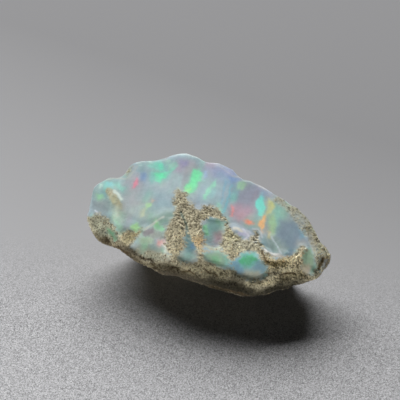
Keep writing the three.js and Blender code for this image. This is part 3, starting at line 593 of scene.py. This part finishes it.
def cell_noise(points, size, seed=0):
    """Smooth random numbers from -1 to 1 that change over about one size, the same each run."""
    at = points / size
    cell = np.floor(at).astype(np.int64)
    part = at - cell
    part = part * part * (3 - 2 * part)
    total = np.zeros(len(points))
    for corner in itertools.product((0, 1), repeat=3):
        key = cell + np.array(corner)
        mixed = (key[:, 0] * 73856093) ^ (key[:, 1] * 19349663) ^ (key[:, 2] * 83492791) ^ (seed * 971)
        mixed = ((mixed ^ (mixed >> 13)) * 1274126177) & 0x7FFFFFFF
        mixed = ((mixed ^ (mixed >> 15)) * 69069) & 0x7FFFFFFF
        value = (mixed % 4096) / 2047.5 - 1
        weight = np.prod(np.where(np.array(corner) == 1, part, 1 - part), axis=1)
        total += value * weight
    return total


def seen(points):
    """u and v in the sketch of points of the stone, in millimetres."""
    from_aim = (points - SKETCH_ORIGIN) / SKETCH_SCALE - AIM
    nearer = VIEW_DISTANCE / (VIEW_DISTANCE - from_aim @ OUT)
    u = AIM_U + from_aim @ RIGHT * nearer
    v = AIM_V + from_aim @ UP * nearer
    return np.stack([u, v], axis=1)


def distance_to(path, places):
    """How far places in the sketch are from a path of points in it."""
    nearest = np.full(len(places), np.inf)
    for start, end in zip(path[:-1], path[1:]):
        run = np.subtract(end, start)
        t = np.clip((places - start) @ run / (run @ run), 0, 1)
        gap = np.linalg.norm(places - start - t[:, None] * run, axis=1)
        nearest = np.minimum(nearest, gap)
    return nearest


def depth_inside(outline, places):
    """How far places in the sketch are inside an outline, below nought for those outside it."""
    inside = np.zeros(len(places), bool)
    u, v = places.T
    for (u0, v0), (u1, v1) in zip(outline, outline[1:] + outline[:1]):
        if v0 != v1:
            crossed = (v0 > v) != (v1 > v)
            inside ^= crossed & (u < u0 + (v - v0) * (u1 - u0) / (v1 - v0))
    gap = distance_to(outline + outline[:1], places)
    return np.where(inside, gap, -gap)


def points_of(mesh):
    """A mesh's points in millimetres, and their normals."""
    points = np.empty(len(mesh.vertices) * 3)
    mesh.vertices.foreach_get("co", points)
    normals = np.empty(len(mesh.vertices) * 3)
    mesh.vertex_normals.foreach_get("vector", normals)
    return points.reshape(-1, 3) / MM, normals.reshape(-1, 3)


def set_points(mesh, points):
    """Moves a mesh's points to places given in millimetres."""
    mesh.vertices.foreach_set("co", (points * MM).ravel())
    mesh.update()


def set_attribute(mesh, name, kind, values):
    """Stores one number or colour for each point of a mesh."""
    attribute = mesh.attributes.new(name, kind, "POINT")
    field = "color" if kind == "FLOAT_COLOR" else "value"
    attribute.data.foreach_set(field, np.asarray(values, np.float32).ravel())


def wandering(points, layers, seed):
    """Small smooth moves in the sketch, from the size and reach of each layer of noise."""
    moves = np.zeros((len(points), 2))
    for layer, (size, reach) in enumerate(layers):
        for axis in (0, 1):
            moves[:, axis] += reach * cell_noise(points, size, seed + 2 * layer + axis)
    return moves


def laid_over(colour, paint, share):
    """A colour at each point, with a share of another laid over it."""
    return colour + (np.array(paint) - colour) * share[:, None]


def on_path(path, half, places):
    """1 on a path of the sketch and 0 off it, with a soft edge. Half is half of the path's width."""
    return 1 - smooth_step(half - EDGE_SOFTNESS, half + EDGE_SOFTNESS, distance_to(path, places))


def rock_cover(points, normals):
    """How much host rock covers each point, from 0 to 1, and how far it faces the viewer of the sketch."""
    places = seen(points) + wandering(points, ROCK_WANDER, 1)
    cover = np.full(len(points), -1.0)
    for outline in ROCK.values():
        cover = np.maximum(cover, depth_inside(outline, places))
    for outline in WINDOWS.values():
        cover = np.minimum(cover, -depth_inside(outline, places))
    front = smooth_step(*ROCK_BORDER, cover + CRUMBLE * cell_noise(points, 0.2, 3))
    patchy = SKIN_COVER + 0.2 * cell_noise(points, 0.9, 8) + 0.3 * cell_noise(points, 0.25, 9)
    for outline in SKIN.values():
        skin = smooth_step(-0.1, 0.3, depth_inside(outline, places)) * np.clip(patchy, 0.1, 0.95)
        front = np.maximum(front, skin)
    facing = smooth_step(*FACING_BORDER, normals @ OUT)
    level = (RIND_HEIGHT - points[:, 2]) / 3.0
    level += 0.9 * cell_noise(points, 3.0, 5) + 0.35 * cell_noise(points, 0.8, 6)
    rind = smooth_step(*RIND_BORDER, level)
    return front * facing + rind * (1 - facing), facing


def rock_tones_shade_and_light(points, facing):
    """The host rock's colour at each point, as it looks in soft light, with painted shade along its lower
    edge and underside and painted light under the lip.
    """
    stain = 1 + 0.16 * cell_noise(points, 2.6, 43) + 0.12 * cell_noise(points, 0.9, 44)
    colour = laid_over(np.array(ROCK_RIND) * stain[:, None], ROCK_TAN, facing)
    places = seen(points) + wandering(points, TONE_WANDER, 41)
    for *spot, paint, strength in ROCK_TONES_SHADE_AND_LIGHT:
        colour = laid_over(colour, paint, blot(places, spot, WASH_FIRMNESS) * strength * facing)
    return colour


def weathered(points, normals, rock, facing, pits):
    """The points moved by the host rock's roughness and pits, and how deep each one lies, from 0 to 1."""
    height = RIND_ROUGHNESS * cell_noise(points, RIND_LUMP, 24) * (1 - facing)
    for layer, (size, rise) in enumerate(ROCK_ROUGHNESS):
        height += rise * cell_noise(points, size, 20 + layer)
    random = np.random.default_rng(7)
    rocky = np.flatnonzero((rock > 0.7) & (points[:, 2] > LOWEST_PIT))
    centres = points[random.choice(rocky, pits)]
    radii = PIT_RADIUS * random.uniform(0.5, 1.2, pits)
    tree = KDTree(pits)
    for index, centre in enumerate(centres):
        tree.insert(centre, index)
    tree.balance()
    depth = np.zeros(len(points))
    for index in np.flatnonzero(rock > 0.05):
        _, nearest, gap = tree.find(points[index])
        depth[index] = max(0.0, 1 - gap / radii[nearest])
    depth = depth * depth * (3 - 2 * depth)
    height -= PIT_DEPTH * depth
    moved = points + normals * (height * rock)[:, None]
    moved[:, 2] = np.maximum(moved[:, 2], 0)
    moved[points[:, 2] <= 1e-4, 2] = 0
    hollow = np.clip(0.5 - height / DEEPEST, 0, 1)
    return moved, hollow


def place_of(azimuth, elevation, distance):
    """A place in metres from its direction in degrees, turning from +X to +Y and up, and its distance."""
    level = distance * math.cos(math.radians(elevation))
    x = level * math.cos(math.radians(azimuth))
    y = level * math.sin(math.radians(azimuth))
    return x, y, distance * math.sin(math.radians(elevation))


def lit(normals, elevation, azimuth, spread):
    """The share of a light that falls on each slope. A light that spreads wider reaches round further."""
    facing = normals @ np.array(place_of(azimuth, elevation, 1.0))
    return np.where(facing > spread, facing, np.clip(facing + spread, 0, None) ** 2 / (4 * spread))


def painted_light_evened(colour, normals, facing):
    """The colour at each point divided by an estimate of the light of the sketch on its slope, so that slopes
    turned away from the window light are painted paler and slopes facing it darker: painted light and shade
    that even out the window's light. Sides that the sketch doesn't show are all lit alike."""
    light = WINDOW_SHARE * lit(normals, WINDOW_ELEVATION, WINDOW_AZIMUTH, WINDOW_SPREAD)
    light += FRONT_SHARE * lit(normals, FRONT_ELEVATION, FRONT_AZIMUTH, FRONT_SPREAD) + FILL_SHARE
    light = AWAY_LIGHT + (light.clip(LEAST_LIGHT, None) - AWAY_LIGHT) * facing
    colour_over_light = linear(np.clip(colour, 0, 1)) / light[:, None]
    return colour_over_light * np.minimum(1, BRIGHTEST / colour_over_light.max(axis=1, keepdims=True).clip(BRIGHTEST, None))


def blot(places, spot, firmness):
    """1 inside a tilted oval and 0 outside, with an edge that is softer for a lower firmness."""
    u, v, long, wide, tilt = spot
    turn = math.radians(tilt)
    du = places[:, 0] - u
    dv = places[:, 1] - v
    along = (du * math.cos(turn) + dv * math.sin(turn)) / long
    across = (dv * math.cos(turn) - du * math.sin(turn)) / wide
    return 1 - smooth_step(firmness, 2 - firmness, np.hypot(along, across))


def play_of_colour(points, facing, ground):
    """The opal's colour at each point, as it looks in soft light, with painted highlights on its broken
    edges.
    """
    colour = np.tile(np.array(ground), (len(points), 1))
    places = seen(points) + wandering(points, FLASH_WANDER, 11)
    for *spot, paint, strength in WASHES:
        colour = laid_over(colour, paint, blot(places, spot, WASH_FIRMNESS) * strength * facing)
    colour = pearly(points, colour)
    streaks = streakiness(seen(points))
    for paint, softness, strength, outline in FLASHES:
        depth = depth_inside(outline, places)
        edge = softness * FLASH_SOFTNESS
        core = FLASH_CORE * smooth_step(-edge, edge, depth)
        halo = FLASH_HALO * smooth_step(-HALO_REACH, HALO_INNER, depth)
        share = ((core + halo) * strength * streaks).clip(0, 1) * facing
        colour = laid_over(colour, paint, share)
    # painted highlights on the broken edges, and the milky lumps
    places = seen(points) + wandering(points, EDGE_WANDER, 17)
    for half, paint, path in HIGHLIGHTS_AND_MILKY_LUMPS:
        colour = laid_over(colour, paint, on_path(path, half, places) * facing)
    return back_flashes(points, facing, colour)


def streakiness(places):
    """How strongly a flash shows at each place, about 1, in streaks that run down from the crest."""
    across = places @ np.array([math.sin(SILK_TILT), -math.cos(SILK_TILT)])
    along = places @ np.array([math.cos(SILK_TILT), math.sin(SILK_TILT)])
    stretched = np.stack([across / STREAK_WIDTH, along / STREAK_LENGTH, np.zeros(len(places))], axis=1)
    return 1 - STREAK_DEPTH * smooth_step(-0.2, 0.8, cell_noise(stretched, 1.0, 90))


def pearly(points, colour):
    """Adds the faint pastel patches that float in the opal between its flashes."""
    for seed, (paint, strength) in enumerate(PASTELS):
        cloud = cell_noise(points * PASTEL_STRETCH, PASTEL_SIZE, 60 + seed)
        colour = laid_over(colour, paint, smooth_step(0.15, 0.75, cloud) * strength)
    return colour


def shade_lines(points, facing):
    """How deep each point lies in the cracks, slots and painted shade lines of the sketch, from 0 to 1, and
    their dark colour.
    """
    places = seen(points) + wandering(points, CRACK_WANDER, 17)
    depth = np.zeros(len(points))
    colour = np.tile(np.array(ROCK_SHADE), (len(points), 1))
    for half, paint, path in CRACKS_AND_SHADE_LINES:
        share = on_path(path, half, places) * facing
        colour[share > depth] = paint
        depth = np.maximum(depth, share)
    return depth, colour


def back_flashes(points, facing, colour):
    """Adds the flashes of the sides that the sketch doesn't show: flat ovals set in the stone."""
    random = np.random.default_rng(23)
    away = 1 - facing
    hidden = np.flatnonzero((away > 0.5) & (points[:, 2] > RIND_HEIGHT - 1.5))
    for centre in points[random.choice(hidden, BACK_FLASHES)]:
        turn = np.linalg.qr(random.normal(size=(3, 3)))[0]
        half = random.uniform(*BACK_FLASH_SIZE) * np.array([1.0, 0.5, 0.4])
        paint = BACK_COLOURS[random.integers(len(BACK_COLOURS))]
        strength = random.uniform(*BACK_FLASH_STRENGTH)
        reach = np.linalg.norm((points - centre) @ turn / half, axis=1)
        colour = laid_over(colour, paint, (1 - smooth_step(0.5, 1.5, reach)) * strength * away)
    return colour


def linear(colour):
    """The light that a colour from 0 to 1, as it looks on a screen, stands for."""
    colour = np.asarray(colour, float)
    return np.where(colour <= 0.04045, colour / 12.92, ((colour + 0.055) / 1.055) ** 2.4)


def as_rgba(colours):
    """Colours with a fourth number, 1, as Blender stores them."""
    return np.concatenate([colours, np.ones((len(colours), 1))], axis=1)


def node_helper(tree):
    """A function that adds a shader node, sets its plain inputs and links the others."""

    def add(kind, inputs=None, **fields):
        node = tree.nodes.new(kind)
        for name, value in fields.items():
            setattr(node, name, value)
        for name, value in (inputs or {}).items():
            socket = node.inputs[name]
            if isinstance(value, bpy.types.NodeSocket):
                tree.links.new(value, socket)
            else:
                socket.default_value = value
        return node

    return add


def new_material(name):
    """An empty node material and its adder of nodes."""
    material = bpy.data.materials.new(name)
    material.use_nodes = True
    material.node_tree.nodes.clear()
    return material, node_helper(material.node_tree)


def add_surface(add, inputs):
    """Ends a material with a shader of these inputs and its output."""
    shader = add("ShaderNodeBsdfPrincipled", inputs)
    add("ShaderNodeOutputMaterial", {"Surface": shader.outputs["BSDF"]})


def own_place(add):
    """Where a point lies on the piece itself."""
    return add("ShaderNodeTexCoord").outputs["Object"]


def attribute_of(add, name, field="Color"):
    """A colour or number that the mesh holds for each point."""
    return add("ShaderNodeAttribute", attribute_name=name).outputs[field]


def noise_of(add, where, scale, detail=3.0, roughness=0.5):
    """Noise as a number. Its scale is in patches a metre."""
    inputs = {"Vector": where, "Scale": scale, "Detail": detail, "Roughness": roughness}
    return add("ShaderNodeTexNoise", inputs).outputs["Fac"]


def ranged(add, value, start, end, low, high):
    """A number taken from the range start to end on to the range low to high."""
    inputs = {"Value": value, "From Min": start, "From Max": end, "To Min": low, "To Max": high}
    return add("ShaderNodeMapRange", inputs).outputs["Result"]


def distance_along(add, where, way):
    """How far a place lies along a direction."""
    node = add("ShaderNodeVectorMath", {0: where}, operation="DOT_PRODUCT")
    node.inputs[1].default_value = way
    return node.outputs["Value"]


# A Mix node's inputs are given by number, because several of them have the same name
def colour_mix(add, share, first, second, blend="MIX"):
    """A mix of two colours."""
    node = add("ShaderNodeMix", {0: share, 6: first, 7: second}, data_type="RGBA", blend_type=blend)
    return node.outputs[2]


def number_mix(add, share, first, second):
    """A mix of two numbers."""
    return add("ShaderNodeMix", {0: share, 2: first, 3: second}, data_type="FLOAT").outputs[0]


def rgba(colour):
    """A colour as it looks on a screen, as a shader socket takes it."""
    return (*linear(colour), 1.0)


def ramp_of(add, value, stops):
    """The colour output of a ramp from its stops: each one's place and colour as it looks."""
    ramp = add("ShaderNodeValToRGB", {"Fac": value})
    elements = ramp.color_ramp.elements
    for element, (place, colour) in zip(elements, (stops[0], stops[-1])):
        element.position = place
        element.color = (*colour, 1.0)
    for place, colour in stops[1:-1]:
        elements.new(place).color = (*colour, 1.0)
    return ramp.outputs["Color"]


def rock_colour(add, where, sand, hollow):
    """The host rock's colour: sandy tones, mottled pale and dark, with painted shade in the pits."""
    mottle = ramp_of(add, noise_of(add, where, 4200.0, roughness=0.7), MOTTLE)
    return colour_mix(add, hollow, colour_mix(add, 1.0, sand, mottle, "MULTIPLY"), rgba(ROCK_SHADE))


def silk_colour(add, where):
    """A faint silky shimmer in the opal: streaks that run down from the crest."""
    across = distance_along(add, where, UP * math.cos(SILK_TILT) - RIGHT * math.sin(SILK_TILT))
    down = distance_along(add, where, RIGHT * math.cos(SILK_TILT) + UP * math.sin(SILK_TILT))
    far = add("ShaderNodeMath", {0: across, 1: SILK_STRETCH}, operation="MULTIPLY").outputs[0]
    place = add("ShaderNodeCombineXYZ", {"X": far, "Y": down}).outputs["Vector"]
    return ramp_of(add, noise_of(add, place, 330.0, roughness=0.6), SILK)


def stone_material(stone):
    """Opal and host rock in one material, told apart by the rock attribute."""
    material, add = new_material("opal_and_host_rock")
    where = own_place(add)
    rock = attribute_of(add, "rock", "Fac")
    pit_shade = ranged(add, attribute_of(add, "hollow", "Fac"), 0.6, 1.0, 0.0, 0.7)
    haze = ranged(add, noise_of(add, where, 1500.0, 6.0, 0.8), 0.3, 0.7, 0.85, 1.13)
    body = colour_mix(add, 1.0, attribute_of(add, "play"), silk_colour(add, where), "MULTIPLY")
    body = colour_mix(add, 1.0, body, haze, "MULTIPLY")
    rock_with_shade = rock_colour(add, where, attribute_of(add, "sand"), pit_shade)
    ripples = noise_of(add, where, 700.0)
    grit = noise_of(add, where, 5200.0, roughness=0.7)
    bump = add("ShaderNodeBump", {
        "Strength": number_mix(add, rock, 0.06, 0.5),
        "Distance": 0.00012,
        "Height": number_mix(add, rock, ripples, grit),
    })
    add_surface(add, {
        "Base Color": colour_mix(add, rock, body, rock_with_shade),
        "Roughness": number_mix(add, rock, 0.5, 0.95),
        "IOR": 1.45,
        "Specular IOR Level": 0.14,
        "Transmission Weight": number_mix(add, rock, stone.clearness, 0.0),
        "Subsurface Weight": number_mix(add, rock, 0.6, 0.1),
        "Subsurface Radius": (1.0, 1.0, 1.0),
        "Subsurface Scale": stone.milkiness,
        "Normal": bump.outputs["Normal"],
    })
    return material


def grain_material():
    """Sand grains, each with its own colour from the tint attribute."""
    material, add = new_material("sand_grain")
    specks = noise_of(add, own_place(add), 6000.0)
    shade = ranged(add, specks, 0.3, 0.7, 0.7, 1.2)
    bump = add("ShaderNodeBump", {"Strength": 0.5, "Distance": 0.00006, "Height": specks})
    add_surface(add, {
        "Base Color": colour_mix(add, 1.0, attribute_of(add, "tint"), shade, "MULTIPLY"),
        "Roughness": 0.8,
        "Normal": bump.outputs["Normal"],
    })
    return material


def finished(name, mesh, material):
    """A piece of the object from its mesh: shaded smooth, riding on the stone's body."""
    mesh.materials.clear()
    mesh.materials.append(material)
    for face in mesh.polygons:
        face.use_smooth = True
    piece = bpy.data.objects.new(name, mesh)
    bpy.context.scene.collection.objects.link(piece)
    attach(piece, BODY)
    return piece


def evened(points, edges):
    """Points moved towards the middle of their neighbours and back, which rounds off facets only."""
    count = np.bincount(edges.ravel(), minlength=len(points))[:, None]
    flat = points[:, 2] <= 1e-6
    for step in EVENING_STEPS:
        middle = np.zeros_like(points)
        np.add.at(middle, edges[:, 0], points[edges[:, 1]])
        np.add.at(middle, edges[:, 1], points[edges[:, 0]])
        moved = points + (middle / count - points) * step
        points = np.where(flat[:, None], points, moved)
    return points


def divided_stone(rounds):
    """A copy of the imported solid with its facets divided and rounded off."""
    bm = bmesh.new()
    bm.from_mesh(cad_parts[NODE].data)
    bmesh.ops.remove_doubles(bm, verts=bm.verts, dist=1e-6)
    for _ in range(rounds):
        bmesh.ops.subdivide_edges(bm, edges=bm.edges, cuts=1, use_grid_fill=True)
        bmesh.ops.triangulate(bm, faces=bm.faces)
        bm.verts.index_update()
        points = np.array([v.co for v in bm.verts])
        edges = np.array([[v.index for v in e.verts] for e in bm.edges])
        for vertex, place in zip(bm.verts, evened(points, edges)):
            vertex.co = place
    mesh = bpy.data.meshes.new("opal_stone")
    bm.to_mesh(mesh)
    bm.free()
    return mesh


def grain_shape():
    """Corners and faces of one plain grain, a ball of a few facets and one millimetre across."""
    bm = bmesh.new()
    bmesh.ops.create_icosphere(bm, subdivisions=1, radius=0.5)
    corners = np.array([v.co for v in bm.verts])
    faces = np.array([[v.index for v in f.verts] for f in bm.faces])
    bm.free()
    return corners, faces


def grain_tints(random, tones):
    """A sandy colour for each grain, from the tone of the rock it sits on, painted shade and light included.
    """
    factors, shares = zip(*GRAIN_KINDS)
    kind = random.choice(len(factors), len(tones), p=shares)
    return tones * np.array(factors)[kind] * random.uniform(0.85, 1.15, (len(tones), 1))


def grains_mesh(name, stone, chance, tones, count, size, seed):
    """Many small grains mostly sunk in the stone where chance is high, as one mesh."""
    random = np.random.default_rng(seed)
    points, normals = points_of(stone)
    triangles = np.empty(len(stone.polygons) * 3, np.int32)
    stone.polygons.foreach_get("vertices", triangles)
    triangles = triangles.reshape(-1, 3)
    corner = points[triangles]
    area = np.linalg.norm(np.cross(corner[:, 1] - corner[:, 0], corner[:, 2] - corner[:, 0]), axis=1)
    weight = area * chance[triangles].mean(axis=1)
    picked = triangles[random.choice(len(triangles), count, p=weight / weight.sum())]
    share = random.dirichlet((1, 1, 1), count)
    places = np.einsum("ij,ijk->ik", share, points[picked])
    outward = normals[picked].mean(axis=1)
    width = size / MM * np.exp(random.normal(0, GRAIN_SPREAD, count)).clip(0.5, 2.0)
    places += outward * (width * random.uniform(*GRAIN_SINK, count))[:, None]
    corners, faces = grain_shape()
    stretch = random.uniform(*GRAIN_STRETCH, (count, 1, 3))
    turn = np.linalg.qr(random.normal(size=(count, 3, 3)))[0]
    turn *= np.sign(np.linalg.det(turn))[:, None, None]
    knobs = 1 + random.uniform(-GRAIN_KNOBS, GRAIN_KNOBS, (count, len(corners), 1))
    shaped = (corners * knobs * stretch * width[:, None, None]) @ turn + places[:, None, :]
    shaped[..., 2] = np.maximum(shaped[..., 2], 0.02)
    joined = (faces[None] + np.arange(count)[:, None, None] * len(corners)).reshape(-1, 3)
    mesh = bpy.data.meshes.new(name)
    mesh.from_pydata((shaped.reshape(-1, 3) * MM).tolist(), [], joined.tolist())
    tint = grain_tints(random, tones[picked].mean(axis=1))
    set_attribute(mesh, "tint", "FLOAT_COLOR", as_rgba(np.repeat(tint, len(corners), axis=0)))
    return mesh


class OPAL_OT_stone(bpy.types.Operator):
    """Makes the stone: opal and host rock as one closed mesh with fine relief and play of colour"""

    bl_idname = "opal.stone"
    bl_label = "Stone"

    def execute(self, context):
        stone, _, _ = settings()
        mesh = divided_stone(stone.subdivisions)
        points, normals = points_of(mesh)
        rock, facing = rock_cover(points, normals)
        play = play_of_colour(points, facing, stone.ground)
        # the rock's tones, with painted shade along the lower edge and painted light under the lip
        sand = rock_tones_shade_and_light(points, facing)
        crack_and_shade, shade = shade_lines(points, facing)
        moved, hollow = weathered(points, normals, rock, facing, stone.pits)
        moved -= normals * (CRACK_DEPTH * crack_and_shade)[:, None]
        set_points(mesh, moved)
        set_attribute(mesh, "rock", "FLOAT", rock)
        set_attribute(mesh, "facing", "FLOAT", facing)
        set_attribute(mesh, "hollow", "FLOAT", hollow)
        for name, colour in (("play", play), ("sand", sand)):
            # colours divided by the estimated light: painted light on slopes turned from the window, painted
            # shade on slopes facing it
            own = painted_light_evened(laid_over(colour, shade, crack_and_shade), normals, facing)
            set_attribute(mesh, name, "FLOAT_COLOR", as_rgba(own))
        piece = finished("opal_stone", mesh, stone_material(stone))
        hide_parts(NODE)
        return {"FINISHED"}


class OPAL_OT_grains(bpy.types.Operator):
    """Scatters sand grains over the host rock, mostly sunk in it"""

    bl_idname = "opal.grains"
    bl_label = "Sand grains"

    def execute(self, context):
        _, grains, _ = settings()
        stone = bpy.data.objects["opal_stone"].data
        values = {}
        for name in ("rock", "facing", "hollow"):
            values[name] = np.empty(len(stone.vertices))
            stone.attributes[name].data.foreach_get("value", values[name])
        tones = np.empty(len(stone.vertices) * 4)
        stone.attributes["sand"].data.foreach_get("color", tones)
        tones = tones.reshape(-1, 4)[:, :3]
        rocky = values["rock"] ** 3 * (1 - values["hollow"]).clip(0.05, 1)
        material = grain_material()
        front = grains_mesh("front_grains", stone, rocky * values["facing"], tones, grains.front,
                            grains.size, 31)
        finished("front_grains", front, material)
        rind = grains_mesh("rind_grains", stone, rocky * (1 - values["facing"]), tones, grains.rind,
                           grains.size * RIND_GRAIN_SIZE, 32)
        finished("rind_grains", rind, material)
        return {"FINISHED"}


def floor_material(stage):
    """A plain floor, with painted light that makes it paler towards the front, and more speckled towards the
    front.
    """
    material, add = new_material("plain_floor")
    where = own_place(add)
    # painted light: the floor grows paler towards the front
    pale_way = distance_along(add, where, place_of(FLOOR_PALER_TOWARDS, 0, 1.0))
    paler = ranged(add, pale_way, -0.035, 0.06, 0.7, 1.53)
    coarse_way = distance_along(add, where, place_of(FLOOR_COARSER_TOWARDS, 0, 1.0))
    coarser = ranged(add, coarse_way, -0.006, 0.01, 0.0, 1.0)
    speckle = add("ShaderNodeTexVoronoi", {"Vector": where, "Scale": 10500.0}).outputs["Color"]
    shade = number_mix(add, coarser, 1.0, ranged(add, speckle, 0.0, 1.0, 0.27, 1.73))
    colour = colour_mix(add, 1.0, (*stage.floor, 1.0), paler, "MULTIPLY")
    add_surface(add, {
        "Base Color": colour_mix(add, 1.0, colour, shade, "MULTIPLY"),
        "Roughness": 0.95,
        "Specular IOR Level": 0.2,
    })
    return material


def area_light(name, place, size, power):
    """An oblong soft light aimed at the stone."""
    lamp = bpy.data.lights.new(name, "AREA")
    lamp.shape = "RECTANGLE"
    lamp.size, lamp.size_y = size
    lamp.energy = power
    light = bpy.data.objects.new(name, lamp)
    light.location = place
    light.rotation_euler = (Vector(LIT_POINT) - Vector(place)).to_track_quat("-Z", "Y").to_euler()
    bpy.context.scene.collection.objects.link(light)


class OPAL_OT_stage(bpy.types.Operator):
    """Lays the plain floor and sets the lights and the camera"""

    bl_idname = "opal.stage"
    bl_label = "Stage"

    def execute(self, context):
        _, _, stage = settings()
        scene = context.scene
        bm = bmesh.new()
        bmesh.ops.create_grid(bm, x_segments=1, y_segments=1, size=FLOOR_SIZE / 2)
        mesh = bpy.data.meshes.new("floor")
        bm.to_mesh(mesh)
        bm.free()
        mesh.materials.append(floor_material(stage))
        floor = bpy.data.objects.new("floor", mesh)
        scene.collection.objects.link(floor)
        window = place_of(WINDOW_AZIMUTH, WINDOW_ELEVATION, WINDOW_DISTANCE)
        area_light("window", window, WINDOW_SIZE, stage.key)
        low = place_of(FRONT_AZIMUTH, FRONT_ELEVATION, FRONT_DISTANCE)
        area_light("low", low, FRONT_SIZE, stage.low)
        world = bpy.data.worlds.new("surroundings")
        scene.world = world
        world.use_nodes = True
        background = world.node_tree.nodes["Background"]
        background.inputs["Color"].default_value = (1, 1, 1, 1)
        background.inputs["Strength"].default_value = stage.fill
        scene.view_settings.view_transform = "Standard"
        camera = bpy.data.cameras.new("camera")
        camera.lens = LENS
        camera.sensor_width = SENSOR
        camera.clip_start = 0.01
        viewer = bpy.data.objects.new("camera", camera)
        viewer.location = (SKETCH_ORIGIN + AIM + OUT * VIEW_DISTANCE) * MM
        viewer.rotation_euler = Vector(OUT).to_track_quat("Z", "Y").to_euler()
        scene.collection.objects.link(viewer)
        scene.camera = viewer
        return {"FINISHED"}


class OPAL_PT_specimen(bpy.types.Panel):
    """Buttons and settings for the rough opal"""

    bl_idname = "OPAL_PT_specimen"
    bl_label = "Rough Opal"
    bl_space_type = "VIEW_3D"
    bl_region_type = "UI"
    bl_category = "Rough Opal"

    def draw(self, context):
        layout = self.layout
        groups = zip(OPERATORS, settings())
        for operator, group in groups:
            box = layout.box()
            for name in group.__annotations__:
                box.prop(group, name)
            box.operator(operator.bl_idname)


OPERATORS = (OPAL_OT_stone, OPAL_OT_grains, OPAL_OT_stage)
CLASSES = (OPAL_PG_stone, OPAL_PG_grains, OPAL_PG_stage, *OPERATORS, OPAL_PT_specimen)


def register():
    for each in CLASSES:
        bpy.utils.register_class(each)
    bpy.types.Scene.opal_stone = PointerProperty(type=OPAL_PG_stone)
    bpy.types.Scene.opal_grains = PointerProperty(type=OPAL_PG_grains)
    bpy.types.Scene.opal_stage = PointerProperty(type=OPAL_PG_stage)


def unregister():
    for name in ("opal_stone", "opal_grains", "opal_stage"):
        delattr(bpy.types.Scene, name)
    for each in reversed(CLASSES):
        bpy.utils.unregister_class(each)


def main():
    register()
    bpy.ops.opal.stage()
    bpy.ops.opal.stone()
    bpy.ops.opal.grains()


if __name__ == "__main__":
    main()
